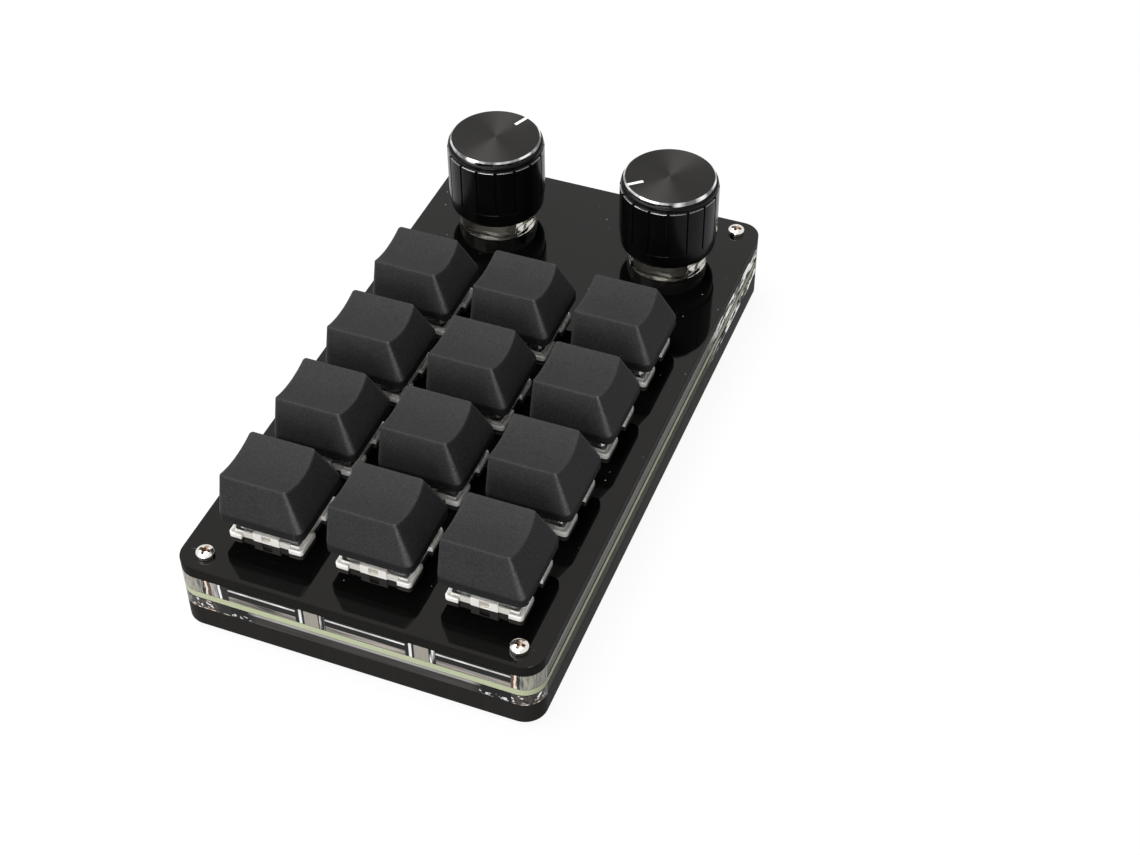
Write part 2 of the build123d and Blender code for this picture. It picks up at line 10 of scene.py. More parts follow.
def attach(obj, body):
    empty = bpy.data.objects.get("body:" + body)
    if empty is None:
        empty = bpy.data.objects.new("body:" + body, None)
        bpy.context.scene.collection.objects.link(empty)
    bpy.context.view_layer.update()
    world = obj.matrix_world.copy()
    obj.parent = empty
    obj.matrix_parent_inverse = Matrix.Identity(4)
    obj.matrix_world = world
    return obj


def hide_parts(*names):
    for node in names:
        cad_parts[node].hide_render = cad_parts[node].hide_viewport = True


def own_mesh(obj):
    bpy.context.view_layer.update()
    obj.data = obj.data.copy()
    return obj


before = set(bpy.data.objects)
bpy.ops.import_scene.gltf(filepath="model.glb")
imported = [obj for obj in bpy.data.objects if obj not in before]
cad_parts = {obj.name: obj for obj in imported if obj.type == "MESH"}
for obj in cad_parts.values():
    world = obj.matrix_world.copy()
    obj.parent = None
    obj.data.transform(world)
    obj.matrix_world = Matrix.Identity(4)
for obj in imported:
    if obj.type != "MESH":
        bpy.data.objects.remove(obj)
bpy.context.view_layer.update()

MM = 0.001
MICRON = 0.000001

# Case: outline, heights of its layers, broken edges, and the air that keeps a clear sheet off its neighbours
CASE_X, CASE_Y, CASE_ROUND = 75.6, 139.5, 4.5
FOOT_TOP = 1.2
BASE_TOP = 6.2
LOWER_TOP = 9.2
BOARD_TOP = 10.8
UPPER_TOP = 14.8
DECK = 17.3
SHEET_EDGE, CUT_EDGE = 0.15, 0.12
AIR = 0.015
ROUND_STEPS = 14
CORNER_SIGNS = ((1, 1), (-1, 1), (-1, -1), (1, -1))

# Places of keys, knobs, screws and feet
COLUMNS, ROWS = 3, 4
KEY_STEP = 22.8
KEY_Y = -17.45
KNOB_X, KNOB_Y = 20.6, 51.65
SCREW_X, SCREW_Y = 32.55, 65.55
FOOT_X, FOOT_Y = 26.8, 58.75
SIDES = {"left": (-KNOB_X, 67.0), "right": (KNOB_X, 220.0)}

# Windows in the layers
SWITCH_HOLE, SWITCH_POCKET = 14.0, 17.6
ENCODER_WINDOW, ENCODER_CORNER = 12.4, 1.0
ENCODER_POCKET_X, ENCODER_POCKET_Y = 16.0, 16.8
PILLAR_ACROSS = 3.4
SCREW_HOLE, SUNK_HOLE = 1.1, 2.3
FRAME_WALL, CORNER_BLOCK = 5.0, 11.5
NOTCH_X, NOTCH_DEPTH = 9.74, 7.95

# Light in the clear edges: reach of the front's windows and webs, of the corners' bars and of the shards
FRONT_FROM, FRONT_TO = -26.0, 32.4
WEB_START, WEB_REGION = 11.7, 6.3
CORNER_SHIFT = 2.5
SHARDS_FROM, SHARDS_FADE = 30.0, 10.0

# Switch housing, from the deck: body, post under it, reach of the flange and inner lines of its corner feet
SWITCH_HALF, SWITCH_INSIDE, SWITCH_RISE = 6.95, 5.75, 1.4
SWITCH_BOTTOM, SWITCH_FLOOR = -5.0, -3.9
POST_RADIUS, POST_ROOM, POST_END = 2.0, 0.1, -8.3
POLE_BORE, POLE_FLOOR = 1.4, -7.5
FLANGE, FLANGE_ROUND = 7.95, 0.8
FOOT_FROM_X, FOOT_FROM_Y, FOOT_INNER = 5.1, 2.2, 6.2
# Dished top of a corner foot: way in from the flange's edge, height
FOOT_DISH = ((0.0, 0.95), (0.08, 1.12), (0.22, 1.2), (0.42, 1.18), (0.65, 1.02), (0.95, 0.82), (1.3, 0.72),
             (1.75, 0.70))
# Blocks of a latch: x from and to, y to, z from and to
LATCH_FROM = 6.6
LATCH_BLOCKS = (
    (-2.8, -1.0, 7.42, 0.02, 2.25), (1.0, 2.8, 7.42, 0.02, 2.25), (-1.0, 1.0, 7.42, 1.95, 2.25),
    (-1.0, 1.0, 7.42, 0.02, 0.35), (-1.0, 1.0, 6.98, 0.35, 1.95), (-5.1, -2.8, 7.2, 0.02, 1.6),
    (2.8, 5.1, 7.2, 0.02, 1.6),
)
# Clear hood: width, length and height of its outside, then of its opening and inside
HOOD_LEVELS = (
    (13.7, 13.7, 1.4), (13.9, 13.9, 1.6), (13.6, 13.6, 2.1), (9.9, 9.9, 6.4), (9.5, 9.5, 6.6),
    (7.3, 5.8, 6.6), (7.2, 5.7, 6.5), (7.2, 5.7, 5.6), (8.6, 8.6, 5.6), (12.1, 12.1, 1.4),
)

# Return spring
SPRING_TURNS, SPRING_RADIUS, SPRING_WIRE, SPRING_LENGTH = 9.0, 1.8, 0.2, 8.55

# Keycap; its ridges carry a painted highlight as strong as the table below says, corner by corner, strongest
# at the front right
CAP_LIFT = 5.25
CAP_BASE = 18.1
CAP_TOP_X, CAP_TOP_Y, CAP_SHIFT = 14.0, 12.9, -1.85
CAP_HEIGHT, CAP_SKIRT, CAP_DISH = 9.8, 2.0, 1.15
CAP_BASE_ROUND, CAP_TOP_ROUND = 1.7, 0.7
CAP_WALL, CAP_ROOF = 1.4, 7.15
CAP_RIM, CAP_LIP = 0.22, 0.32
CAP_RIDGE_HIGHLIGHTS = (0.5, 0.12, 0.15, 1.0)
CAP_TUBE_INSIDE, CAP_TUBE_OUTSIDE, CAP_TUBE_FOOT = 2.1, 2.5, 1.0

# Screws: head, shanks, and the cross recess as height, arm and half width
HEAD_RADIUS, HEAD_HEIGHT, HEAD_ROUND = 1.85, 1.5, 0.4
TOP_SHANK, BASE_SHANK, BASE_SINK = 5.7, 6.2, 2.0
CROSS_LEVELS = ((0.45, 0.55, 0.2), (1.0, 1.05, 0.33), (2.0, 1.4, 0.42))

# Knob
KNOB_LIFT, KNOB_HEIGHT, KNOB_DROP, KNOB_ROUND = 5.75, 16.8, 1.25, 1.35
KNOB_RADIUS, KNOB_CORE, KNOB_SKIRT, KNOB_NECK = 10.95, 10.55, 10.65, 10.4
KNOB_BORE, KNOB_BORE_END, KNOB_HOLLOW = 3.02, 14.65, 8.25
DISC_RADIUS, DISC_THICK, DISC_EDGE = 10.2, 1.0, 0.36
POINTER_LENGTH, POINTER_WIDTH = 3.6, 0.75
GRIPS, GRIP_FOOT, GRIP_TOP = 16, 4.0, 14.35
RING_RADIUS, RING_HEIGHT = 9.0, 3.9

# Encoder bushing and its thread
BUSH_BORE, BUSH_RADIUS, BUSH_HEIGHT, BUSH_LIFT = 3.05, 3.5, 7.0, 6.8
THREAD_ROOT, THREAD_STEP, THREAD_TURNS = 3.28, 0.75, 8

# Socket shell: width, height and place along Y of its inside, then of its outside
SOCKET_RISE, SOCKET_INSET = 1.58, 0.2
SOCKET_LEVELS = (
    (8.34, 2.56, -6.75), (8.34, 2.56, -0.12), (8.44, 2.66, 0.0), (8.84, 3.06, 0.0), (8.94, 3.16, -0.12),
    (8.94, 3.16, -7.35),
)

# Studio: room light, lamps as name, place in metres, size and watts, and the camera
ROOM_LIGHT = 0.20
FLOOR_SIZE, FLOOR_WHITE = 3.0, 0.93
LAMPS = (
    ("key_lamp", (-0.60, -0.70, 1.10), 0.9, 5.8),
    ("top_lamp", (-0.40, 0.10, 1.28), 1.1, 20.3),
    ("front_lamp", (0.10, -1.15, 0.42), 0.7, 10.8),
)
LAMP_TARGET = (0, 0, 0.02)
CAMERA_PLACE = (122.408, -269.066, 288.878)
CAMERA_RIGHT = (0.932668, 0.360712, -0.004234)
CAMERA_UP = (-0.248096, 0.649918, 0.718369)
CAMERA_BACK = (0.261877, -0.668949, 0.695649)
CAMERA_LENS, CAMERA_SENSOR = 60.149, 36.0

ACRYLIC_IOR = 1.49


def operator(operation, swapped=False):
    """Operator of a wire: one Math node on it and another value."""
    def applied(self, other=None):
        return self.maths(operation, other, swapped)
    return applied


class Wire:
    """Output of a node, ready for use in sums."""

    def __init__(self, tree, socket):
        self.tree, self.socket = tree, socket

    def maths(self, operation, other=None, swapped=False):
        """One Math node on this output and another value."""
        first, second = (other, self) if swapped else (self, other)
        return self.tree.node("ShaderNodeMath", {"operation": operation}, {0: first, 1: second})

    __add__ = __radd__ = operator("ADD")
    __sub__ = operator("SUBTRACT")
    __rsub__ = operator("SUBTRACT", swapped=True)
    __mul__ = __rmul__ = operator("MULTIPLY")
    __truediv__ = operator("DIVIDE")
    __pow__ = operator("POWER")
    __gt__ = operator("GREATER_THAN")
    __lt__ = operator("LESS_THAN")
    __abs__ = operator("ABSOLUTE")

    def held(self):
        """The same value, kept between 0 and 1."""
        return self.maths("MAXIMUM", 0.0).maths("MINIMUM", 1.0)

    def above(self, level, gain):
        """0 up to a level, then rising to 1."""
        return ((self - level) * gain).held()

    def below(self, level, gain):
        """0 down to a level, then rising to 1."""
        return ((level - self) * gain).held()

    def within(self, low, high, soft=0.1):
        """1 between two levels, fading to 0 over a short way inside them."""
        return self.above(low, 1 / soft) * self.below(high, 1 / soft)

    def of(self, name):
        """Another output of the same node."""
        return Wire(self.tree, self.socket.node.outputs[name])


class Tree:
    """Node tree under construction; one method adds every kind of node."""

    def __init__(self, tree):
        self.tree = tree

    def node(self, kind, settings=None, sockets=None, out=0):
        """Add a node, set it up, fill or link its sockets, and give one of its outputs."""
        made = self.tree.nodes.new(kind)
        for name, value in (settings or {}).items():
            setattr(made, name, value)
        for name, value in (sockets or {}).items():
            if isinstance(value, Wire):
                self.tree.links.new(value.socket, made.inputs[name])
            elif value is not None:
                made.inputs[name].default_value = value
        return Wire(self, made.outputs[out]) if len(made.outputs) else made

    def mix(self, factor, first, second):
        """Colour between two colours."""
        return self.node("ShaderNodeMix", {"data_type": "RGBA"}, {0: factor, 6: first, 7: second}, out=2)


class Finish(Tree):
    """Surface finish on one Principled shader, patterned in object coordinates."""

    def __init__(self, name, **constants):
        self.material = bpy.data.materials.new(name)
        self.material.use_nodes = True
        super().__init__(self.material.node_tree)
        self.shader = self.tree.nodes["Principled BSDF"]
        for socket, value in constants.items():
            self.shader.inputs[socket.replace("_", " ")].default_value = value
        self.place = self.node("ShaderNodeTexCoord", out="Object")

    def feed(self, **wires):
        """Link patterns to the shader's sockets, and give the finished material."""
        for socket, wire in wires.items():
            self.tree.links.new(wire.socket, self.shader.inputs[socket.replace("_", " ")])
        return self.material

    def noise(self, per_metre, stretch=(1, 1, 1), detail=2.0):
        """Soft noise between 0 and 1, with about that many blotches to a metre."""
        place = self.node("ShaderNodeMapping", None, {"Vector": self.place, "Scale": stretch})
        return self.node("ShaderNodeTexNoise", None, {"Vector": place, "Scale": per_metre, "Detail": detail})

    def specks(self, per_metre, share):
        """Mask of rare small dots, such as dust."""
        cells = self.node("ShaderNodeTexVoronoi", {"voronoi_dimensions": "2D"},
                          {"Vector": self.place, "Scale": per_metre})
        pick = self.node("ShaderNodeSeparateColor", None, {"Color": cells.of("Color")})
        return (pick > 1 - share) * (cells < 0.02 + pick.of("Green") * 0.09)

    def bump(self, height, strength, microns):
        """Relief of that depth."""
        return self.node("ShaderNodeBump", None,
                         {"Height": height, "Strength": strength, "Distance": microns * MICRON})

    def axis(self, letter, zero=0.0):
        """One object coordinate in millimetres, measured from a level."""
        along = self.node("ShaderNodeSeparateXYZ", None, {"Vector": self.place}).of(letter)
        return (along - zero * MM) * 1000.0

    def upness(self):
        """How far the face looks up or down: 1 on flats, 0 on upright walls."""
        normal = self.node("ShaderNodeNewGeometry", out="Normal")
        return abs(self.node("ShaderNodeSeparateXYZ", None, {"Vector": normal}).of("Z"))

    def painted(self, name):
        """Value that the mesh carries under a name."""
        return self.node("ShaderNodeAttribute", {"attribute_name": name}, out="Fac")


def grey(value, warm=0.0):
    """Opaque grey, a little warm or cool."""
    return (value * (1 + warm), value, value * (1 - warm), 1.0)


def acrylic_finish(name, base, level):
    """Polished black sheet: mirror face with faint smears and dust, sides drawn by the cutter."""
    made = Finish(name, IOR=ACRYLIC_IOR, Specular_IOR_Level=level, Specular_Tint=(1.0, 0.965, 0.925, 1))
    smear = made.noise(38, detail=3.0)
    lines = made.noise(2600, (1, 1, 0.02), 1.0)
    flat = made.upness() > 0.7
    dust = made.specks(620, 0.030) * flat
    return made.feed(
        Base_Color=made.mix(dust * 0.5, grey(base, 0.06), grey(0.35)),
        Roughness=0.025 + smear * 0.03 + (1 - flat) * (0.16 + lines * 0.16) + dust * 0.4,
        Normal=made.bump(lines * (1 - flat), 0.25, 20))


def clear_finish(name, tint, rough, cut):
    """Clear plastic: polished faces, sides with fine upright cutter lines."""
    made = Finish(name, Base_Color=tint, IOR=ACRYLIC_IOR, Transmission_Weight=1.0, Specular_IOR_Level=0.12)
    lines = made.noise(1900, (1, 1, 0.03))
    waves = made.noise(260)
    side = 1 - made.upness()
    return made.feed(
        Roughness=rough + side * lines * cut,
        Normal=made.bump(lines * side + waves * 0.4, 0.3, 40))


def metal_finish(name, colour, dark, rough, lines_per_metre, stretch):
    """Bare or plated metal with tool lines and dull patches."""
    made = Finish(name, Metallic=1.0)
    lines = made.noise(lines_per_metre, stretch)
    patch = made.noise(420, detail=3.0)
    return made.feed(
        Base_Color=made.mix(patch * 0.6, colour, dark),
        Roughness=rough + patch * 0.08 + lines * 0.12,
        Normal=made.bump(lines, 0.2, 10))


def moulded_finish(name, colour, worn, rough, grain_per_metre, relief, shaded=False, **constants):
    """Moulded plastic or rubber with a fine skin and slightly uneven colour, and if asked painted shade in
    hollows that the mesh marks.
    """
    made = Finish(name, **constants)
    grain = made.noise(grain_per_metre)
    cloud = made.noise(240, detail=3.0)
    skin = made.mix(cloud * 0.5 + grain * 0.2, colour, worn)
    if shaded:
        # Painted shade in the marked hollows
        skin = made.mix(made.painted("shade") * 0.85, skin, (0.36, 0.33, 0.27, 1))
    return made.feed(
        Base_Color=skin,
        Roughness=rough + (grain - 0.5) * 0.16 + cloud * 0.06,
        Normal=made.bump(grain, relief, 40))


def cap_finish():
    """Black keycap plastic: sandy skin, smoother along handled ridges, with a painted highlight on the ridges
    and the top lip and painted shade on the skirt.
    """
    made = Finish("cap_plastic", IOR=1.5, Specular_IOR_Level=0.06)
    sand = made.noise(2600, detail=4.0)
    cloud = made.noise(160)
    glint = made.specks(1500, 0.05)
    ridge_wear_and_highlight = made.painted("ridge_wear_and_highlight")
    tone = (sand - 0.5) * 1.8 + 0.35 + cloud * 0.3
    body = made.mix(tone, (0.0155, 0.0157, 0.0167, 1), (0.0350, 0.0347, 0.0360, 1))
    # Painted shade: darker on the skirt and inside the mouth
    body = made.mix(made.painted("skirt") * 0.62, body, grey(0.0085))
    # Painted highlight: grainy paler colour along the ridges and the top lip
    body = made.mix(ridge_wear_and_highlight * (sand * 1.6 - 0.10), body, (0.105, 0.102, 0.10, 1))
    return made.feed(
        Base_Color=made.mix(glint * 0.35, body, grey(0.11)),
        Roughness=0.52 + (sand - 0.5) * 0.22 - ridge_wear_and_highlight * 0.10 + cloud * 0.05,
        Normal=made.bump(sand, 0.55, 50))


def board_finish():
    """Circuit board: dark mask on its faces, pale layered glass fibre on its sawn edge."""
    made = Finish("board_fibre", IOR=1.5)
    layers = made.noise(5200, (0.02, 0.02, 1))
    fibre = made.noise(900, detail=3.0)
    tracks = made.noise(330, (1, 0.3, 1), 0.0)
    flat = made.upness() > 0.7
    edge = made.mix(layers * 0.6 + fibre * 0.3, (0.33, 0.37, 0.215, 1), (0.46, 0.485, 0.335, 1))
    mask = made.mix(tracks > 0.55, (0.012, 0.016, 0.013, 1), (0.020, 0.026, 0.021, 1))
    return made.feed(
        Base_Color=made.mix(flat, edge, mask),
        Roughness=0.5 - flat * 0.25 + fibre * 0.12,
        Normal=made.bump(layers * (1 - flat) + tracks * flat * 0.5, 0.3, 30))


def screw_finish():
    """Nickel-plated screw: bright turned head, painted brown shade and reflection down in the cross."""
    made = Finish("screw_nickel", Metallic=1.0)
    fine = made.noise(5200)
    patch = made.noise(900, detail=3.0)
    recess = made.painted("recess")
    bright = made.mix(patch * 0.6, (0.86, 0.83, 0.78, 1), (0.60, 0.57, 0.52, 1))
    return made.feed(
        Base_Color=made.mix(recess * 0.85, bright, (0.20, 0.115, 0.06, 1)),
        Roughness=0.13 + fine * 0.10 + recess * 0.25,
        Normal=made.bump(fine, 0.15, 10))


def knob_finish():
    """Gloss black knob skin with faint upright polish lines; the grips' upper edges are painted as bright
    bare metal, a painted highlight.
    """
    made = Finish("knob_black", IOR=1.5, Specular_IOR_Level=0.10)
    lines = made.noise(2300, (1, 1, 0.04))
    smear = made.noise(120, detail=3.0)
    edge = made.painted("edge")
    return made.feed(
        # Painted highlight: bright metal along the marked upper edges of the grips
        Base_Color=made.mix(edge, made.mix(smear, grey(0.0018), grey(0.0032)), grey(0.34)),
        Metallic=edge * 0.9,
        Roughness=0.15 + smear * 0.06 + lines * 0.07,
        Normal=made.bump(lines, 0.12, 10))


def face_finish(side, middle):
    """Dark knob face, brushed on a lathe: rings of slightly different dark grey."""
    made = Finish(f"knob_face_{side}", Metallic=1.0, Anisotropic=0.8, Anisotropic_Rotation=0.25)
    x, y = made.axis("X", middle[0]), made.axis("Y", middle[1])
    rings = made.node("ShaderNodeTexNoise", {"noise_dimensions": "1D"},
                      {"W": (x * x + y * y) ** 0.5, "Scale": 9.0, "Detail": 4.0})
    return made.feed(
        Base_Color=made.mix(rings, (0.0175, 0.0168, 0.0158, 1), (0.040, 0.0385, 0.036, 1)),
        Roughness=0.30 + rings * 0.16)


def edge_finish():
    """Bright cut edge of a knob face, with painted reflection: mirror-bright and dark by turns."""
    made = Finish("bright_edge", Metallic=1.0)
    turns = made.noise(240, (1, 1, 0))
    fine = made.noise(3000)
    return made.feed(
        # Painted reflection: bright and dark stretches round the edge
        Base_Color=made.mix(turns.above(0.40, 5.0), grey(0.16), grey(0.88)),
        Roughness=0.10 + fine * 0.12)


def cut_finish(name, base):
    """Side of a black sheet as the cutter left it: satin, with faint upright lines."""
    made = Finish(name, IOR=ACRYLIC_IOR, Specular_IOR_Level=0.01)
    lines = made.noise(1700, (1, 1, 0.04))
    cloud = made.noise(90)
    return made.feed(
        Base_Color=made.mix(lines * 0.5 + cloud * 0.5, grey(base * 0.75, 0.05), grey(base * 1.25, 0.05)),
        Roughness=0.34 + lines * 0.12,
        Normal=made.bump(lines, 0.08, 20))


def upper_front_finish():
    """Front edge of the upper clear sheet, painted with what shows through it: windows dark as painted shade
    with a painted bright band and a painted pale strip, and webs with painted bright slivers and painted pale
    light in their middles.
    """
    made = Finish("upper_front_edge", IOR=ACRYLIC_IOR, Specular_IOR_Level=0.10)
    height = made.axis("Z", BOARD_TOP)
    along = ((made.axis("X") + WEB_START + 2 * KEY_STEP) / KEY_STEP).maths("FRACT") * KEY_STEP
    streaks = made.noise(1500, (0.06, 1, 1), 3.0)
    uprights = made.noise(1900, (1, 1, 0.10), 3.0)
    drift = made.noise(160, (1, 0, 0))
    # Painted highlight: a bright band high on the windows, stronger in places
    line = (height.within(2.88, 3.45, 0.14) * (drift * 2.6 - 0.55)).held()
    # Painted light: a pale brownish strip above the board, of what shows through the edge
    strip = height.within(-0.2, 1.5, 0.12) * ((streaks - 0.32) * 2.8 + 0.15 * height).held()
    # Painted shade: near black windows under the painted bright band
    window = made.mix(line, made.mix(streaks, grey(0.002), grey(0.012)), grey(0.85, 0.02))
    window = made.mix(strip, window, (0.36, 0.325, 0.295, 1))
    # Painted highlights: bright slivers beside each web
    sliver = along.within(0.72, 1.42, 0.12) * (0.1 + uprights * 1.6)
    streaky = along.within(4.95, 6.15) * uprights.above(0.42, 5.0)
    post = along.within(1.8, 4.9)
    bright = sliver + streaky
    web = made.mix(bright, grey(0.009), grey(0.82))
    # Painted light: the web's middle pale and warm, as light seen through it
    web = made.mix(post * (0.80 + 0.3 * uprights), web, (0.30, 0.275, 0.24, 1))
    webbed = along < WEB_REGION
    return made.feed(
        Base_Color=made.mix(webbed, window, web),
        # Metal on the painted bright parts, so that they mirror the white surroundings
        Metallic=(webbed * (1 - post) * bright + (1 - webbed) * line) * 0.7,
        Roughness=0.12 + streaks * 0.12,
        Normal=made.bump(uprights, 0.1, 20))


def lower_front_finish():
    """Front edge of the lower clear sheet, painted: dark as painted shade, a painted pale band of highlight
    under the board, painted bright glints at its ends.
    """
    made = Finish("lower_front_edge", IOR=ACRYLIC_IOR, Specular_IOR_Level=0.10)
    height = made.axis("Z", BASE_TOP)
    streaks = made.noise(1500, (0.06, 1, 1), 3.0)
    glint_crumbs = made.noise(1300, (0.8, 1, 1))
    middle = made.axis("X").within(-22.5, 26.5, 2.0)
    # Painted highlight: a pale band under the board
    line = middle * height.within(2.3, 3.2) * (0.2 + streaks)
    # Painted glints near both ends
    ends = (1 - middle) * height.within(0.2, 1.5, 0.4) * glint_crumbs.above(0.56, 12.0)
    # Painted shade: dark, with faint streaks in the middle
    body = made.mix(streaks * middle, grey(0.004), grey(0.055, 0.06))
    body = made.mix(line, body, grey(0.42, 0.03))
    return made.feed(
        Base_Color=made.mix(ends, body, grey(0.75)),
        Metallic=ends * 0.7,
        Roughness=0.10 + streaks * 0.12,
        Normal=made.bump(streaks, 0.1, 20))


def side_edge_finish(name, floor, thick, gap, dark, pale):
    """Other edges of a clear sheet, painted: streaked along their length and lighter towards the top, painted
    shards of light and shade beside the knobs, and painted dark shadow bands along the top and over the gap
    at the bottom.
    """
    made = Finish(name, IOR=ACRYLIC_IOR, Specular_IOR_Level=0.0)
    height = made.axis("Z", floor)
    streaks = made.noise(2600, (0.006, 0.006, 1))
    flecks = made.noise(1100, (0.2, 0.2, 1))
    # Painted tone, lighter towards the top
    tone = (streaks - 0.5) * 1.5 + (flecks - 0.5) * 0.4 + 0.25 + 0.45 * height / thick
    shards = made.noise(620, (1, 0.42, 1.3), 3.0)
    long_sides = abs(made.axis("X")) > CASE_X / 2 - 0.2
    far = made.axis("Y").above(SHARDS_FROM, 1 / SHARDS_FADE) * long_sides
    # Painted shards of light and shade on the long sides beside the knobs
    light = far * shards.above(0.48, 10.0)
    shade = far * shards.below(0.44, 10.0)
    # Painted shadow: dark over the gap at the bottom and along the top
    inside = height.within(gap, thick - 0.15, 0.12)
    body = made.mix(shade, made.mix(tone, dark, pale), grey(0.03))
    body = made.mix(light, body, grey(0.90, 0.02))
    return made.feed(
        Base_Color=made.mix(inside, grey(0.005), body),
        Metallic=light * inside * 0.8,
        Roughness=0.22 + streaks * 0.15,
        Normal=made.bump(streaks, 0.15, 20))


def corner_reach(made):
    """Way from the middle towards a corner in millimetres, with the right corners read a little less."""
    x = made.axis("X")
    return abs(x) - (x > 0) * CORNER_SHIFT


def upper_corner_finish():
    """Rounded corner of the upper clear sheet, painted with what shows through its edge: upright bars of the
    pillar and its hole as painted light and shade, with warm and white painted glints.
    """
    made = Finish("upper_corner", IOR=ACRYLIC_IOR, Specular_IOR_Level=0.15)
    wobble = made.noise(520, detail=3.0)
    uprights = made.noise(2300, (1, 1, 0.12), 3.0)
    reach = corner_reach(made) + (wobble - 0.5) * 0.9
    # Painted bars: a pale panel, a warm glint, a brown band, a grey pillar and white glints, dark between
    panel = reach.above(31.6, 8.0) * (uprights * 2.4 - 0.45).held()
    warm = reach.within(30.45, 31.0)
    brown = reach.within(29.85, 30.5)
    pillar = reach.within(28.3, 29.85) * (uprights * 2.0 - 0.25).held()
    white = reach.within(27.5, 28.15, 0.12) + (reach.within(30.9, 31.5) * (uprights - 0.5) * 6.0).held()
    skin = made.mix(panel, grey(0.010), (0.34, 0.33, 0.28, 1))
    skin = made.mix(pillar, skin, (0.44, 0.43, 0.42, 1))
    skin = made.mix(brown, skin, (0.10, 0.055, 0.035, 1))
    skin = made.mix(warm, skin, (0.85, 0.70, 0.58, 1))
    return made.feed(
        Base_Color=made.mix(white, skin, grey(0.90)),
        # Metal on the painted glints, so that they mirror the white surroundings
        Metallic=(white + warm).held() * 0.7,
        Roughness=0.14 + uprights * 0.2,
        Normal=made.bump(uprights + wobble, 0.25, 50))


def lower_corner_finish():
    """Rounded corner of the lower clear sheet, painted: dark as painted shade, curled painted glints, a
    broken painted pale band of highlight along the base.
    """
    made = Finish("lower_corner", IOR=ACRYLIC_IOR, Specular_IOR_Level=0.15)
    height = made.axis("Z", BASE_TOP)
    curls = made.node("ShaderNodeTexWave", {"wave_type": "RINGS", "rings_direction": "SPHERICAL"},
                      {"Vector": made.place, "Scale": 260.0, "Distortion": 9.0, "Detail": 2.0}, out="Fac")
    blots = made.noise(1250)
    broken = made.noise(900, (1, 1, 0))
    near = corner_reach(made).above(28.2, 0.8)
    # Painted glints in curls near the corner
    glint = near * curls.above(0.55, 5.0) * blots.above(0.50, 9.0) * height.within(0.5, 2.9, 0.3)
    # Painted highlight: a broken pale band along the base
    line = height.within(0.02, 0.42) * broken.above(0.40, 5.0)
    light = (glint + line).held()
    # Painted shade: dark, a little lighter and warmer near the corner
    skin = made.mix((near * (blots - 0.3) * 2.0).held(), grey(0.006), grey(0.085, 0.14))
    pale = made.mix(blots.above(0.45, 6.0), (0.55, 0.36, 0.22, 1), grey(0.92))
    return made.feed(
        Base_Color=made.mix(light, skin, pale),
        Metallic=light * 0.7,
        Roughness=0.14 + blots * 0.2,
        Normal=made.bump(curls, 0.15, 40))


def wall_finish(name, floor, low, high):
    """Inner wall of a clear sheet, painted dark as shade, with one painted bright band of highlight between
    two heights over its floor.
    """
    made = Finish(name, IOR=ACRYLIC_IOR, Specular_IOR_Level=0.2)
    height = made.axis("Z", floor)
    streaks = made.noise(900, (1, 1, 0.2), 3.0)
    # Painted highlight: the band between the two heights is bright metal
    lip = (height > low) * (height < high)
    dull = made.mix(streaks, grey(0.012), grey(0.10, 0.05))
    return made.feed(
        Base_Color=made.mix(lip, dull, grey(0.85, 0.03)),
        Metallic=lip * 0.8,
        Roughness=0.45 - lip * 0.3,
        Normal=made.bump(streaks, 0.3, 50))


def frosted_finish(name, tint, rough):
    """Clear plastic that the cutter left milky, with upright streaks."""
    made = Finish(name, IOR=ACRYLIC_IOR, Transmission_Weight=0.5)
    streaks = made.noise(1500, (1, 1, 0.15), 3.0)
    cloud = made.noise(700)
    return made.feed(
        Base_Color=made.mix((streaks - 0.45) * 3.0 + cloud * 0.4, tint, grey(0.10, 0.10)),
        Roughness=rough + streaks * 0.2,
        Normal=made.bump(streaks, 0.4, 40))


BLACK_SHEET = acrylic_finish("black_acrylic", 0.0018, 0.27)
TOP_SIDE = cut_finish("black_top_side", 0.0105)
BASE_SIDE = cut_finish("black_base_side", 0.0162)
CLEAR_SHEET = clear_finish("clear_acrylic", (0.97, 0.985, 0.975, 1), 0.012, 0.10)
UPPER_WALL = wall_finish("upper_inner_wall", BOARD_TOP, 1.45, 1.8)
LOWER_WALL = wall_finish("lower_inner_wall", BASE_TOP, 0.05, 0.4)
UPPER_FRONT, LOWER_FRONT = upper_front_finish(), lower_front_finish()
UPPER_CORNER, LOWER_CORNER = upper_corner_finish(), lower_corner_finish()
UPPER_EDGE = side_edge_finish("upper_long_edge", BOARD_TOP, UPPER_TOP - BOARD_TOP, 0.55,
                              (0.16, 0.154, 0.145, 1), (0.54, 0.53, 0.50, 1))
LOWER_EDGE = side_edge_finish("lower_long_edge", BASE_TOP, LOWER_TOP - BASE_TOP, 0.15,
                              (0.10, 0.097, 0.089, 1), (0.26, 0.254, 0.238, 1))
HOLE_WALL = frosted_finish("hole_frosted", (0.40, 0.345, 0.28, 1), 0.3)
RING_CLEAR = clear_finish("ring_clear", (0.72, 0.70, 0.63, 1), 0.012, 0.10)
CLEAR_HOOD = clear_finish("switch_clear", (0.96, 0.97, 0.97, 1), 0.22, 0.05)
CAP = cap_finish()
BOARD = board_finish()
NICKEL = screw_finish()
KNOB = knob_finish()
BRIGHT_EDGE = edge_finish()
POINTER = moulded_finish("pointer_white", grey(0.86), grey(0.76), 0.38, 2600, 0.1)
BRASS = metal_finish("pillar_brass", (0.42, 0.33, 0.20, 1), (0.26, 0.19, 0.11, 1), 0.28, 1800, (1, 1, 6))
STEEL = metal_finish("plated_steel", grey(0.64), grey(0.50), 0.22, 1500, (1, 1, 0.1))
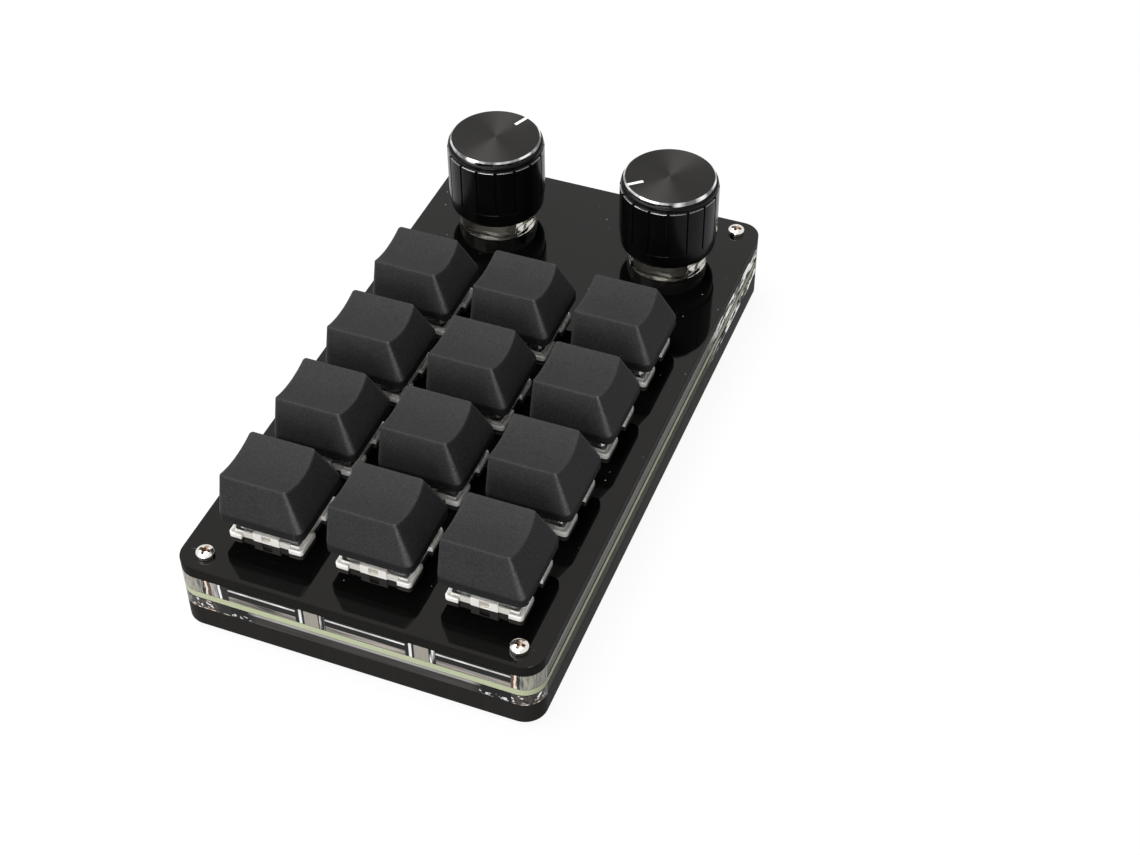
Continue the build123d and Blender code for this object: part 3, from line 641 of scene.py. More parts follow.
SPRING = metal_finish("spring_steel", grey(0.58), grey(0.45), 0.20, 1700, (0.1, 0.1, 1))
ALUMINIUM = metal_finish("machined_aluminium", grey(0.66), grey(0.55), 0.24, 2100, (0.1, 0.1, 1))
WHITE_NYLON = moulded_finish(
    "switch_white", (0.90, 0.885, 0.845, 1), (0.84, 0.82, 0.77, 1), 0.36, 1900, 0.12, shaded=True,
    Specular_IOR_Level=1.0, Subsurface_Weight=0.12, Subsurface_Radius=(0.001, 0.0009, 0.0008))
STEM = moulded_finish("stem_plastic", grey(0.50), grey(0.42), 0.35, 2200, 0.1)
RUBBER = moulded_finish("foot_rubber", grey(0.022), grey(0.034), 0.72, 1500, 0.35)
DARK = moulded_finish("dark_plastic", grey(0.020), grey(0.030), 0.45, 2100, 0.2)


def shown(name, data):
    """New object in the scene."""
    made = bpy.data.objects.new(name, data)
    bpy.context.scene.collection.objects.link(made)
    return made


def settled(thing, *helpers):
    """Plain mesh of an object with its modifiers worked in; the object and its helpers then go."""
    graph = bpy.context.evaluated_depsgraph_get()
    mesh = bpy.data.meshes.new_from_object(thing.evaluated_get(graph), depsgraph=graph)
    thing.modifiers.clear()
    for item in (thing, *helpers):
        bpy.data.objects.remove(item)
    return mesh


def to_mesh(shape, name):
    """Finish a bmesh as a mesh whose faces point outwards."""
    bmesh.ops.remove_doubles(shape, verts=shape.verts[:], dist=1e-7)
    bmesh.ops.recalc_face_normals(shape, faces=shape.faces[:])
    mesh = bpy.data.meshes.new(name)
    shape.to_mesh(mesh)
    shape.free()
    return mesh


def evened(mesh):
    """The same mesh, whose large faces shade flat beside their rounded edges."""
    holder = shown("holder", mesh)
    holder.modifiers.new("even", "WEIGHTED_NORMAL").keep_sharp = True
    return settled(holder)


def piece(name, mesh, body, *nodes, slot, finishes=(), pick=None, crease=38, even=True):
    """Put a finished mesh on its body, in place of the named nodes; pick gives a face its finish."""
    for finish in finishes:
        mesh.materials.append(finish)
    if pick:
        mesh.polygons.foreach_set("material_index", [pick(face) for face in mesh.polygons])
    mesh.shade_smooth()
    mesh.set_sharp_from_angle(angle=radians(crease))
    if even:
        mesh = evened(mesh)
    mesh.name = name
    made = shown(name, mesh)
    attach(made, body)
    if nodes:
        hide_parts(*nodes)
    return made


def moved(mesh, x=0.0, y=0.0, z=0.0, turn=0.0):
    """Move a mesh to its place in the case."""
    mesh.transform(Matrix.Translation(Vector((x, y, z)) * MM) @ Matrix.Rotation(radians(turn), 4, "Z"))
    return mesh


def soften(shape, width, steps=2, above=30):
    """Round off the edges that are sharper than an angle in degrees."""
    sharp = [edge for edge in shape.edges
             if len(edge.link_faces) == 2 and edge.calc_face_angle(0) > radians(above)]
    bmesh.ops.bevel(shape, geom=sharp, offset=width * MM, segments=steps, profile=0.5, affect="EDGES",
                    clamp_overlap=True)


def circle(radius, steps, centre=(0, 0)):
    """Points round a circle."""
    return [(centre[0] + radius * cos(tau * i / steps), centre[1] + radius * sin(tau * i / steps))
            for i in range(steps)]


def square_loop(half, steps):
    """Points on a square, at the angles of a circle's points."""
    return [(x * half / max(abs(x), abs(y)), y * half / max(abs(x), abs(y))) for x, y in circle(1.0, steps)]


def rounded(width, length, radius, steps=ROUND_STEPS, between=0, centre=(0, 0)):
    """Points round a rectangle with rounded corners, with more points along its sides if asked."""
    reach_x, reach_y = width / 2 - radius, length / 2 - radius
    corners = []
    for quarter, (sign_x, sign_y) in enumerate(CORNER_SIGNS):
        x, y = centre[0] + sign_x * reach_x, centre[1] + sign_y * reach_y
        angles = [quarter * pi / 2 + pi / 2 * i / steps for i in range(steps + 1)]
        corners.append([(x + radius * cos(angle), y + radius * sin(angle)) for angle in angles])
    points = []
    for quarter, arc in enumerate(corners):
        points += arc
        (ax, ay), (bx, by) = arc[-1], corners[(quarter + 1) % 4][0]
        points += [(ax + (bx - ax) * i / (between + 1), ay + (by - ay) * i / (between + 1))
                   for i in range(1, between + 1)]
    return points


def box_loop(width, length, centre=(0, 0)):
    """Corners of a rectangle."""
    return [(centre[0] + x, centre[1] + y) for x, y in corner_places(width / 2, length / 2)]


def corner_places(x, y):
    """The four corners of a rectangle about the middle."""
    return [(-x, -y), (x, -y), (x, y), (-x, y)]


def key_places():
    """Middles of the keys with their names, row by row from the front."""
    for row in range(ROWS):
        for column in range(COLUMNS):
            yield (f"r{row + 1}c{column + 1}", (column - (COLUMNS - 1) / 2) * KEY_STEP,
                   KEY_Y + (row - (ROWS - 1) / 2) * KEY_STEP)


def lifted(loop, z):
    """A flat loop of points at a height."""
    return [(x, y, z) for x, y in loop]


def arc_points(centre, radius, first, last, steps):
    """Points on a part of a circle in a profile, by angles in degrees."""
    angles = [radians(first + (last - first) * i / steps) for i in range(steps + 1)]
    return [(centre[0] + radius * cos(angle), centre[1] + radius * sin(angle)) for angle in angles]


def cut_sheet(outline, holes, low, high, edge):
    """Flat sheet between two heights, cut to an outline with holes, its edges just broken."""
    shape = bmesh.new()
    rim = []
    for loop in (outline, *holes):
        row = [shape.verts.new(Vector(point) * MM) for point in lifted(loop, low)]
        rim += [shape.edges.new((a, b)) for a, b in zip(row, row[1:] + row[:1])]
    bmesh.ops.triangle_fill(shape, use_beauty=True, use_dissolve=False, edges=rim)
    upper = bmesh.ops.extrude_face_region(shape, geom=shape.faces[:], use_keep_orig=True)
    raised = [item for item in upper["geom"] if isinstance(item, bmesh.types.BMVert)]
    bmesh.ops.translate(shape, vec=(0, 0, (high - low) * MM), verts=raised)
    bmesh.ops.recalc_face_normals(shape, faces=shape.faces[:])
    soften(shape, edge)
    return to_mesh(shape, "sheet")


def add_skin(shape, rings, closed=False):
    """Join rings of equally many points by faces; open ends that aren't points are capped."""
    rows = [[shape.verts.new(Vector(point) * MM) for point in ring] for ring in rings]
    pairs = list(zip(rows, rows[1:])) + ([(rows[-1], rows[0])] if closed else [])
    for low, high in pairs:
        for i in range(len(low)):
            j = (i + 1) % len(low)
            shape.faces.new((low[i], low[j], high[j], high[i]))
    if not closed:
        for row in (rows[0], rows[-1]):
            if (row[0].co - row[1].co).length > 1e-8:
                shape.faces.new(row)
    return rows


def turned(profile, steps, closed=False):
    """Mesh turned about Z from points of radius and height."""
    shape = bmesh.new()
    add_skin(shape, [lifted(circle(radius, steps), z) for radius, z in profile], closed)
    return to_mesh(shape, "turned")


def add_block(shape, low, high):
    """Rectangular block between two corners."""
    (x0, y0, z0), (x1, y1, z1) = low, high
    add_skin(shape, [lifted(((x0, y0), (x1, y0), (x1, y1), (x0, y1)), z) for z in (z0, z1)])


def node_group(name, inputs):
    """Empty geometry node group with named inputs, and a wire for each."""
    group = bpy.data.node_groups.new(name, "GeometryNodeTree")
    for label, kind in inputs.items():
        group.interface.new_socket(name=label, in_out="INPUT", socket_type="NodeSocket" + kind)
    group.interface.new_socket(name="Geometry", in_out="OUTPUT", socket_type="NodeSocketGeometry")
    tree = Tree(group)
    source = tree.node("NodeGroupInput")
    return tree, {label: source.of(label) for label in inputs}


def close_group(tree, geometry, finish):
    """End a group: real geometry in one finish."""
    real = tree.node("GeometryNodeRealizeInstances", None, {"Geometry": geometry})
    coated = tree.node("GeometryNodeSetMaterial", None, {"Geometry": real, "Material": finish})
    tree.node("NodeGroupOutput", None, {"Geometry": coated})
    return tree.tree


def copies_at(tree, given, points, spin=None):
    """End a group: copies of its piece at points."""
    pattern = tree.node("GeometryNodeObjectInfo", None, {"Object": given["Piece"]}, out="Geometry")
    copies = tree.node("GeometryNodeInstanceOnPoints", None,
                       {"Points": points, "Instance": pattern, "Rotation": spin})
    return close_group(tree, copies, given["Finish"])


def grid_group():
    """Copies of a piece at the crossings of a grid."""
    tree, given = node_group("grid_set", {
        "Piece": "Object", "Finish": "Material", "Columns": "Int", "Rows": "Int", "Step X": "Float",
        "Step Y": "Float", "Middle": "Vector"})
    grid = tree.node("GeometryNodeMeshGrid", None, {
        "Size X": (given["Columns"] - 1) * given["Step X"], "Size Y": (given["Rows"] - 1) * given["Step Y"],
        "Vertices X": given["Columns"], "Vertices Y": given["Rows"]})
    placed = tree.node("GeometryNodeSetPosition", None, {"Geometry": grid, "Offset": given["Middle"]})
    return copies_at(tree, given, placed)


def ring_group():
    """Copies of a piece turned about an upright axis in even steps."""
    tree, given = node_group("ring_set", {
        "Piece": "Object", "Finish": "Material", "Count": "Int", "Turn": "Float", "Middle": "Vector"})
    points = tree.node("GeometryNodePoints", None, {"Count": given["Count"], "Position": given["Middle"]})
    angle = tree.node("GeometryNodeInputIndex") * tau / given["Count"] + given["Turn"]
    return copies_at(tree, given, points, tree.node("ShaderNodeCombineXYZ", None, {"Z": angle}))


def coil_group():
    """Round wire wound into a coil that climbs from the origin."""
    tree, given = node_group("coil", {
        "Finish": "Material", "Turns": "Float", "Radius": "Float", "Wire": "Float", "Height": "Float"})
    path = tree.node("GeometryNodeCurveSpiral", None, {
        "Resolution": 16, "Rotations": given["Turns"], "Start Radius": given["Radius"],
        "End Radius": given["Radius"], "Height": given["Height"]})
    wire = tree.node("GeometryNodeCurvePrimitiveCircle", None, {"Resolution": 8, "Radius": given["Wire"]})
    coil = tree.node("GeometryNodeCurveToMesh", None,
                     {"Curve": path, "Profile Curve": wire, "Fill Caps": True})
    return close_group(tree, coil, given["Finish"])


GRID, RING, COIL = grid_group(), ring_group(), coil_group()


def grown(group, pattern=None, **values):
    """Plain mesh that a node group makes, of a pattern mesh where it copies one."""
    holder = shown("holder", bpy.data.meshes.new("holder"))
    helpers = [shown("pattern", pattern)] if pattern else []
    if helpers:
        values["Piece"] = helpers[0]
    modifier = holder.modifiers.new("nodes", "NODES")
    modifier.node_group = group
    for item in group.interface.items_tree:
        if item.in_out == "INPUT":
            modifier[item.identifier] = values[item.name.replace(" ", "_")]
    return settled(holder, *helpers)


def at_corners(pattern, finish, x, y, z):
    """A piece at the four corners of the case."""
    return grown(GRID, pattern, Finish=finish, Columns=2, Rows=2, Step_X=2 * x * MM, Step_Y=2 * y * MM,
                 Middle=(0.0, 0.0, z * MM))


def at_keys(pattern, finish):
    """A piece under every key, measured from the plate's face."""
    return grown(GRID, pattern, Finish=finish, Columns=COLUMNS, Rows=ROWS, Step_X=KEY_STEP * MM,
                 Step_Y=KEY_STEP * MM, Middle=(0.0, KEY_Y * MM, DECK * MM))


def case_outline():
    """Outline that the layers share."""
    return rounded(CASE_X, CASE_Y, CASE_ROUND)


def encoder_window(centre=(0, 0)):
    """Square window with cut corners for an encoder."""
    return rounded(ENCODER_WINDOW, ENCODER_WINDOW, ENCODER_CORNER, 1, 0, centre)


def cut_side(face):
    """1 on the cut sides of a sheet, 0 on its polished faces."""
    upright, across = abs(face.normal.z), abs(face.normal.x)
    return 0 if upright > 0.98 or upright > 0.5 and across > 0.2 else 1


def clear_side(face):
    """Finish of a clear sheet's face: 0 polished, 1 inner wall, 2 pillar hole, 3 front, 4 edge, 5 corner."""
    x, y = face.center.x / MM, face.center.y / MM
    end_x, end_y = CASE_X / 2, CASE_Y / 2
    if abs(face.normal.z) > 0.5:
        return 0
    if min(hypot(x - px, y - py) for px, py in corner_places(SCREW_X, SCREW_Y)) < PILLAR_ACROSS * 0.7:
        return 2
    past_x, past_y = abs(x) - end_x + CASE_ROUND, abs(y) - end_y + CASE_ROUND
    if min(past_x, past_y) > 0 and hypot(past_x, past_y) > CASE_ROUND - 0.3:
        return 5
    if y < 0.2 - end_y:
        return 3 if FRONT_FROM < x < FRONT_TO else 5
    if abs(x) > end_x - 0.2 or y > end_y - 0.2:
        return 4
    return 1 if abs(x) < end_x - 2 and 2 - end_y < y < end_y - NOTCH_DEPTH - 1 else 0


def frame_hollow():
    """Inside of the lower clear frame, which leaves a block in each corner."""
    inner_x, inner_y = CASE_X / 2 - FRAME_WALL, CASE_Y / 2 - FRAME_WALL
    block_x, block_y = CASE_X / 2 - CORNER_BLOCK, CASE_Y / 2 - CORNER_BLOCK
    block = ((inner_x, block_y), (block_x, block_y), (block_x, inner_y))
    hollow = []
    for sign_x, sign_y in CORNER_SIGNS:
        corner = [(sign_x * x, sign_y * y) for x, y in block]
        hollow += corner if sign_x == sign_y else corner[::-1]
    return hollow


def dress_layers():
    """The five layers of the case."""
    screws = corner_places(SCREW_X, SCREW_Y)
    pillar_holes = [circle(PILLAR_ACROSS / sqrt(3), 6, place) for place in screws]
    screw_holes = [circle(SCREW_HOLE, 24, place) for place in screws]
    sunk_holes = [circle(SUNK_HOLE, 36, place) for place in screws]
    key_holes = [box_loop(SWITCH_HOLE, SWITCH_HOLE, (x, y)) for _, x, y in key_places()]
    post_holes = [circle(POST_RADIUS + POST_ROOM, 24, (x, y)) for _, x, y in key_places()]
    windows = [encoder_window((x, KNOB_Y)) for x, _ in SIDES.values()]
    pockets = [box_loop(SWITCH_POCKET, (ROWS - 1) * KEY_STEP + SWITCH_POCKET, ((i - 1) * KEY_STEP, KEY_Y))
               for i in range(COLUMNS)]
    pockets += [box_loop(ENCODER_POCKET_X, ENCODER_POCKET_Y, (x, KNOB_Y)) for x, _ in SIDES.values()]
    notch = [(side * NOTCH_X / 2, CASE_Y / 2 - depth)
             for side, depth in ((1, 0), (1, NOTCH_DEPTH), (-1, NOTCH_DEPTH), (-1, 0))]

    outline = case_outline()
    front = max(range(len(outline)), key=lambda i: (-round(outline[i][1], 6), -outline[i][0])) + 1
    back = max(range(len(outline)), key=lambda i: (round(outline[i][1], 6), outline[i][0])) + 1
    ends = [(x, -CASE_Y / 2) for x in (FRONT_FROM, FRONT_TO)]
    lower_outline = outline[:front] + ends + outline[front:]
    upper_outline = outline[:back] + notch + outline[back:front] + ends + outline[front:]

    base = cut_sheet(outline, sunk_holes, FOOT_TOP, BASE_TOP, SHEET_EDGE)
    piece("base_sheet", base, "case", "base_plate", slot="black_acrylic", finishes=[BLACK_SHEET, BASE_SIDE],
          pick=cut_side)
    hollows = [frame_hollow()] + pillar_holes
    lower = cut_sheet(lower_outline, hollows, BASE_TOP + AIR, LOWER_TOP - AIR, CUT_EDGE)
    piece("lower_clear_sheet", lower, "case", "lower_spacer", slot="clear_acrylic", pick=clear_side,
          finishes=[CLEAR_SHEET, LOWER_WALL, HOLE_WALL, LOWER_FRONT, LOWER_EDGE, LOWER_CORNER])
    board = cut_sheet(outline, pillar_holes + post_holes, LOWER_TOP, BOARD_TOP, CUT_EDGE)
    piece("board_sheet", board, "case", "circuit_board", slot="board", finishes=[BOARD])
    upper = cut_sheet(upper_outline, pockets + pillar_holes, BOARD_TOP + AIR, UPPER_TOP - AIR, CUT_EDGE)
    piece("upper_clear_sheet", upper, "case", "upper_spacer", slot="clear_acrylic", pick=clear_side,
          finishes=[CLEAR_SHEET, UPPER_WALL, HOLE_WALL, UPPER_FRONT, UPPER_EDGE, UPPER_CORNER])
    top = cut_sheet(outline, key_holes + windows + screw_holes, UPPER_TOP, DECK, SHEET_EDGE)
    piece("top_sheet", top, "case", "top_plate", slot="black_acrylic", finishes=[BLACK_SHEET, TOP_SIDE],
          pick=cut_side)


def screw_mesh(shank):
    """Pan-head screw with a cross recess, its head's underside at the origin."""
    head = [(0, -shank), (0.85, -shank), (1.0, -shank + 0.2), (1.0, 0), (1.75, 0), (HEAD_RADIUS, 0.1)]
    head += arc_points((HEAD_RADIUS - HEAD_ROUND, 0.75), HEAD_ROUND, 0, 62, 5)
    head += [(1.2, 1.30), (0.7, 1.43), (0, HEAD_HEIGHT)]
    blank = shown("blank", turned(head, 48))
    cutter = bmesh.new()
    rings = []
    for z, arm, half in CROSS_LEVELS:
        quarter = [(arm, half), (half, half), (half, arm)]
        mirrored = [(-x, y) for x, y in reversed(quarter)]
        right_side = [(x, -y) for x, y in reversed(quarter)]
        left_side = [(x, -y) for x, y in reversed(mirrored)]
        rings.append(lifted(quarter + mirrored + left_side + right_side, z))
    add_skin(cutter, rings)
    punch = shown("punch", to_mesh(cutter, "punch"))
    cut = blank.modifiers.new("cross", "BOOLEAN")
    cut.operation, cut.object, cut.solver = "DIFFERENCE", punch, "EXACT"
    mesh = settled(blank, punch)
    # Painted shade: vertices down in the cross recess are marked for it
    recess = mesh.attributes.new("recess", "FLOAT", "POINT")
    for vertex, value in zip(mesh.vertices, recess.data):
        x, y, z = vertex.co / MM
        reach = hypot(x, y)
        value.value = 1.0 if reach < 1.45 and 0.3 < z < HEAD_HEIGHT - 0.12 * reach - 0.2 else 0.0
    return mesh


def dress_fasteners():
    """Screws and feet."""
    top = at_corners(screw_mesh(TOP_SHANK), NICKEL, SCREW_X, SCREW_Y, DECK)
    piece("top_screw_set", top, "case", "top_screws", slot="nickel")
    sunk = screw_mesh(BASE_SHANK)
    sunk.transform(Matrix.Rotation(pi, 4, "X"))
    base = at_corners(sunk, NICKEL, SCREW_X, SCREW_Y, FOOT_TOP + BASE_SINK)
    piece("base_screw_set", base, "case", "base_screws", slot="nickel")
    foot = [(0, 0), (4.2, 0)] + arc_points((4.2, 0.3), 0.3, -90, 0, 4)
    foot += arc_points((4.25, 0.95), 0.25, 0, 90, 3) + [(0, FOOT_TOP)]
    feet = at_corners(turned(foot, 64), RUBBER, FOOT_X, FOOT_Y, 0.0)
    piece("foot_set", feet, "case", "rubber_feet", slot="foot_rubber")


def add_foot(shape, sign_x, sign_y):
    """Corner foot of a switch: an angle with a dished top, a rounded rim and a rounded outer corner."""
    levels = [depth for depth, _ in FOOT_DISH]
    heights = [height for _, height in FOOT_DISH]
    lines = [FLANGE - depth for depth in reversed(levels)]
    corner = FLANGE - FLANGE_ROUND
    rows = {}

    def top(x, y):
        height = heights[min(levels.index(depth) if depth in levels else len(levels) - 1
                             for depth in (round(FLANGE - x, 6), round(FLANGE - y, 6)))]
        if x > corner and y > corner:
            over_x, over_y = x - corner, y - corner
            pull = max(over_x, over_y) / hypot(over_x, over_y)
            x, y = corner + over_x * pull, corner + over_y * pull
        return (sign_x * x, sign_y * y, height)

    xs, ys = [FOOT_FROM_X, 5.65] + lines, [FOOT_FROM_Y, 3.5, 5.0] + lines
    for x in xs:
        for y in ys:
            upper = top(x, y)
            rows[x, y] = [shape.verts.new(Vector(point) * MM) for point in (upper, (*upper[:2], 0.0))]
    for a, b in zip(xs, xs[1:]):
        for c, d in zip(ys, ys[1:]):
            if a >= FOOT_INNER or c >= FOOT_INNER:
                for layer in (0, 1):
                    shape.faces.new([rows[place][layer] for place in ((a, c), (b, c), (b, d), (a, d))])
    lower_of = {upper: lower for upper, lower in rows.values()}
    for edge in dict.fromkeys(edge for vertex in lower_of for edge in vertex.link_edges):
        if len(edge.link_faces) == 1:
            first, second = edge.verts
            shape.faces.new((first, second, lower_of[second], lower_of[first]))
    loose = [vertex for pair in rows.values() for vertex in pair if not vertex.link_faces]
    bmesh.ops.delete(shape, geom=loose, context="VERTS")


def housing_mesh():
    """White lower housing of a switch: walls, floor with a bored post, corner feet and latches."""
    shape = bmesh.new()
    bore, post, body = circle(POLE_BORE, 32), circle(POST_RADIUS, 32), square_loop(SWITCH_HALF, 32)
    levels = ((bore, POLE_FLOOR), (bore, SWITCH_FLOOR), (body, SWITCH_FLOOR), (body, SWITCH_BOTTOM),
              (post, SWITCH_BOTTOM), (post, POST_END))
    add_skin(shape, [lifted(*level) for level in levels])
    out, inside = SWITCH_HALF, SWITCH_INSIDE
    for x0, y0, x1, y1 in (
        (-out, -out, out, -inside), (-out, inside, out, out),
        (-out, -inside, -inside, inside), (inside, -inside, out, inside),
    ):
        add_block(shape, (x0, y0, SWITCH_FLOOR), (x1, y1, SWITCH_RISE))
    for sign_x in (-1, 1):
        for sign_y in (-1, 1):
            add_foot(shape, sign_x, sign_y)
    for sign_y in (-1, 1):
        for x0, x1, reach, z0, z1 in LATCH_BLOCKS:
            y = sorted((sign_y * LATCH_FROM, sign_y * reach))
            add_block(shape, (x0, y[0], z0), (x1, y[1], z1))
    bmesh.ops.recalc_face_normals(shape, faces=shape.faces[:])
    soften(shape, 0.12, 2, 60)
    # Painted shade: the back of the latch recess fully, the side panels beside the latch partly
    shade = shape.verts.layers.float.new("shade")
    for vertex in shape.verts:
        x, y, z = abs(vertex.co.x) / MM, abs(vertex.co.y) / MM, vertex.co.z / MM
        if x < 1.1 and 6.8 < y < 7.05 and z > 0.2:
            vertex[shade] = 1.0
        elif 2.75 < x < 5.15 and 7.0 < y < 7.25 and z > 0:
            vertex[shade] = 0.4
    return to_mesh(shape, "housing")


def dress_switches():
    """Lower housings and clear hoods of the key switches."""
    housings = at_keys(housing_mesh(), WHITE_NYLON)
    piece("switch_housings", housings, "case", "switch_bases", slot="switch_white")
    hood = bmesh.new()
    add_skin(hood, [lifted(rounded(wide, long, 0.5, 3), z) for wide, long, z in HOOD_LEVELS], closed=True)
    hoods = at_keys(to_mesh(hood, "hood"), CLEAR_HOOD)
    piece("switch_hoods", hoods, "case", "switch_covers", slot="switch_clear")


def dress_springs():
    """Coil springs between the housings' floors and the stems."""
    coil = grown(COIL, Finish=SPRING, Turns=SPRING_TURNS, Radius=SPRING_RADIUS * MM, Wire=SPRING_WIRE * MM,
                 Height=(SPRING_LENGTH - 2 * SPRING_WIRE) * MM)
    floor = DECK + SWITCH_FLOOR
    for name, x, y in key_places():
        spring = piece(f"spring_{name}", moved(coil.copy(), x, y, floor + SPRING_WIRE), "case",
                       "switch_springs", slot="spring_steel")
        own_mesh(spring)


def cap_mesh():
    """Keycap: leaning hollow shell with rounded ridges and a dished top, its skirt's foot at the origin."""
    steps, between = 8, 11
    foot = rounded(CAP_BASE, CAP_BASE, CAP_BASE_ROUND, steps, between)
    crown = rounded(CAP_TOP_X, CAP_TOP_Y, CAP_TOP_ROUND, steps, between, (CAP_SHIFT, 0))
    bend = ((CAP_TOP_Y / 2) ** 2 + CAP_DISH**2) / (2 * CAP_DISH)
    middle = Vector((CAP_SHIFT, 0, 0))
    slope = CAP_HEIGHT - CAP_SKIRT
    count = len(foot)

    def dish(y):
        return CAP_HEIGHT - CAP_DISH + bend - sqrt(bend**2 - y**2)

    def wall(i, share):
        (ax, ay), (bx, by) = foot[i], crown[i]
        return Vector((ax + (bx - ax) * share, ay + (by - ay) * share, CAP_SKIRT + slope * share))

    def on_dish(point, share):
        spot = middle + (point - middle) * share
        return Vector((spot.x, spot.y, dish(spot.y)))

    def square(size, radius):
        return rounded(size, size, radius, steps, between)

    tops = []
    for i in range(count):
        share = 1.0
        for _ in range(4):
            share = (dish(wall(i, share).y) - CAP_SKIRT) / slope
        tops.append(share)

    # From the inside of the roof down to the mouth, round the rim and up the skirt
    roof_share = (CAP_ROOF - CAP_SKIRT) / slope
    roof_x = CAP_BASE + (CAP_TOP_X - CAP_BASE) * roof_share - 2 * CAP_WALL
    roof_y = CAP_BASE + (CAP_TOP_Y - CAP_BASE) * roof_share - 2 * CAP_WALL
    roof_shift = CAP_SHIFT * roof_share
    roof = rounded(roof_x, roof_y, 0.8, steps, between, (roof_shift, 0))
    mouth = square(CAP_BASE - 2 * CAP_WALL, 0.6)
    lip = square(CAP_BASE - 2 * CAP_WALL + 0.2, 0.7)
    rim = square(CAP_BASE - 2 * CAP_RIM, CAP_BASE_ROUND - CAP_RIM)
    rings = [[(roof_shift, 0, CAP_ROOF)] * count, lifted(roof, CAP_ROOF), lifted(mouth, CAP_SKIRT),
             lifted(mouth, 0.1), lifted(lip, 0.0), lifted(rim, 0.0)]
    inner = len(rings)
    rings += [lifted(foot, z) for z in (0.07, CAP_RIM, CAP_SKIRT * 0.55, CAP_SKIRT - 0.25)]
    # Painted highlight on each ring: faint round the foot's rim, then along the top lip
    painted_rim_highlight = [0.0] * inner + [0.05, 0.05, 0.0, 0.0]
    skirt = len(rings)

    # Up the leaning walls, over the rounded lip and across the dish to its middle
    for share in (0.03, 0.25, 0.5, 0.75, 0.9):
        rings.append([wall(i, tops[i] * share) for i in range(count)])
        painted_rim_highlight.append(0.0)
    edges = [wall(i, tops[i]) for i in range(count)]
    lows = [wall(i, tops[i] - CAP_LIP / CAP_HEIGHT) for i in range(count)]
    ins = [on_dish(edge, 1 - CAP_LIP / (edge - middle).xy.length) for edge in edges]
    for t in (0.0, 0.25, 0.5, 0.75, 1.0):
        rings.append([low * (1 - t) ** 2 + edge * 2 * t * (1 - t) + inward * t**2
                      for low, edge, inward in zip(lows, edges, ins)])
        painted_rim_highlight.append(0.16 * sin(pi * (0.1 + 0.8 * t)))
    outer = len(rings) - 1
    for share in (0.9, 0.75, 0.55, 0.35, 0.15, 0.0):
        rings.append([on_dish(inward, share) for inward in ins])
        painted_rim_highlight.append(0.0)

    shape = bmesh.new()
    # Each vertex carries the painted highlight of the top lip and the ridges, its strength per corner from
    # the keycap's corner table
    ridge_wear_and_highlight = shape.verts.layers.float.new("ridge_wear_and_highlight")
    # Painted shade: the skirt and the inside of the mouth are marked for darkening
    shade = shape.verts.layers.float.new("skirt")
    quarter = steps + 1 + between
    for level, (row, along) in enumerate(zip(add_skin(shape, rings), painted_rim_highlight)):
        for i, vertex in enumerate(row):
            step = i % quarter
            bend_share = exp(-((step - steps / 2) / (steps / 4.5)) ** 2) if step <= steps else 0.0
            sharp = bend_share * CAP_RIDGE_HIGHLIGHTS[i // quarter] if skirt <= level < outer else 0.0
            vertex[ridge_wear_and_highlight] = max(along, sharp)
            vertex[shade] = 1.0 if inner <= level < skirt else 0.0
    head = CAP_ROOF + 0.2
    tube = ((CAP_TUBE_INSIDE, CAP_TUBE_FOOT), (CAP_TUBE_OUTSIDE, CAP_TUBE_FOOT), (CAP_TUBE_OUTSIDE, head),
            (CAP_TUBE_INSIDE, head))
    add_skin(shape, [lifted(circle(radius, 24), z) for radius, z in tube], closed=True)
    return to_mesh(shape, "cap")


def dress_keys():
    """A cap on every key."""
    pattern = cap_mesh()
    for name, x, y in key_places():
        piece(f"cap_{name}", moved(pattern.copy(), x, y, DECK + CAP_LIFT), f"key_{name}", f"keycap_{name}",
              slot="cap_plastic", finishes=[CAP], crease=50, even=False)


def grip_mesh(low, high):
    """One raised grip panel of a knob, a curved pad with rounded edges."""
    shape = bmesh.new()
    half = pi / GRIPS - 0.016
    turns = [half * (i / 5 - 1) for i in range(11)]
    root = KNOB_CORE - 0.3
    rows = []
    for radius, z in ((root, low), (KNOB_RADIUS, low), (KNOB_RADIUS, high), (root, high)):
        ring = [(radius * cos(turn), radius * sin(turn), z) for turn in turns]
        rows.append([shape.verts.new(Vector(point) * MM) for point in ring])
    for first, second in zip(rows, rows[1:] + rows[:1]):
        for i in range(len(turns) - 1):
            shape.faces.new((first[i], first[i + 1], second[i + 1], second[i]))
    for end in (0, -1):
        shape.faces.new([row[end] for row in rows])
    bmesh.ops.recalc_face_normals(shape, faces=shape.faces[:])
    soften(shape, 0.10, 3)
    # Painted highlight: the middle of each grip's upper outer edge is marked for bright metal
    edge = shape.verts.layers.float.new("edge")
    for vertex in shape.verts:
        outside = hypot(vertex.co.x, vertex.co.y) > (KNOB_RADIUS - 0.2) * MM
        inboard = abs(vertex.co.y) < KNOB_RADIUS * half * 0.85 * MM
        vertex[edge] = 1.0 if outside and inboard and vertex.co.z > (high - 0.08) * MM else 0.0
    return to_mesh(shape, "grip")


def face_mesh():
    """Disc on a knob's top, its bright cut edge marked for the second finish."""
    inner = DISC_RADIUS - DISC_EDGE
    profile = [(0, 0), (DISC_RADIUS, 0), (DISC_RADIUS, DISC_THICK - DISC_EDGE),
               (DISC_RADIUS - DISC_EDGE * 0.95, DISC_THICK - 0.03), (inner - 0.06, DISC_THICK)]
    profile += [(radius, DISC_THICK) for radius in (8.0, 6.0, 4.0, 2.0, 0.5, 0)]
    mesh = turned(profile, 160)
    mesh.polygons.foreach_set("material_index", [
        1 if hypot(face.center.x, face.center.y) / MM > inner - 0.02 and face.center.z > 0.1 * MM else 0
        for face in mesh.polygons])
    return mesh


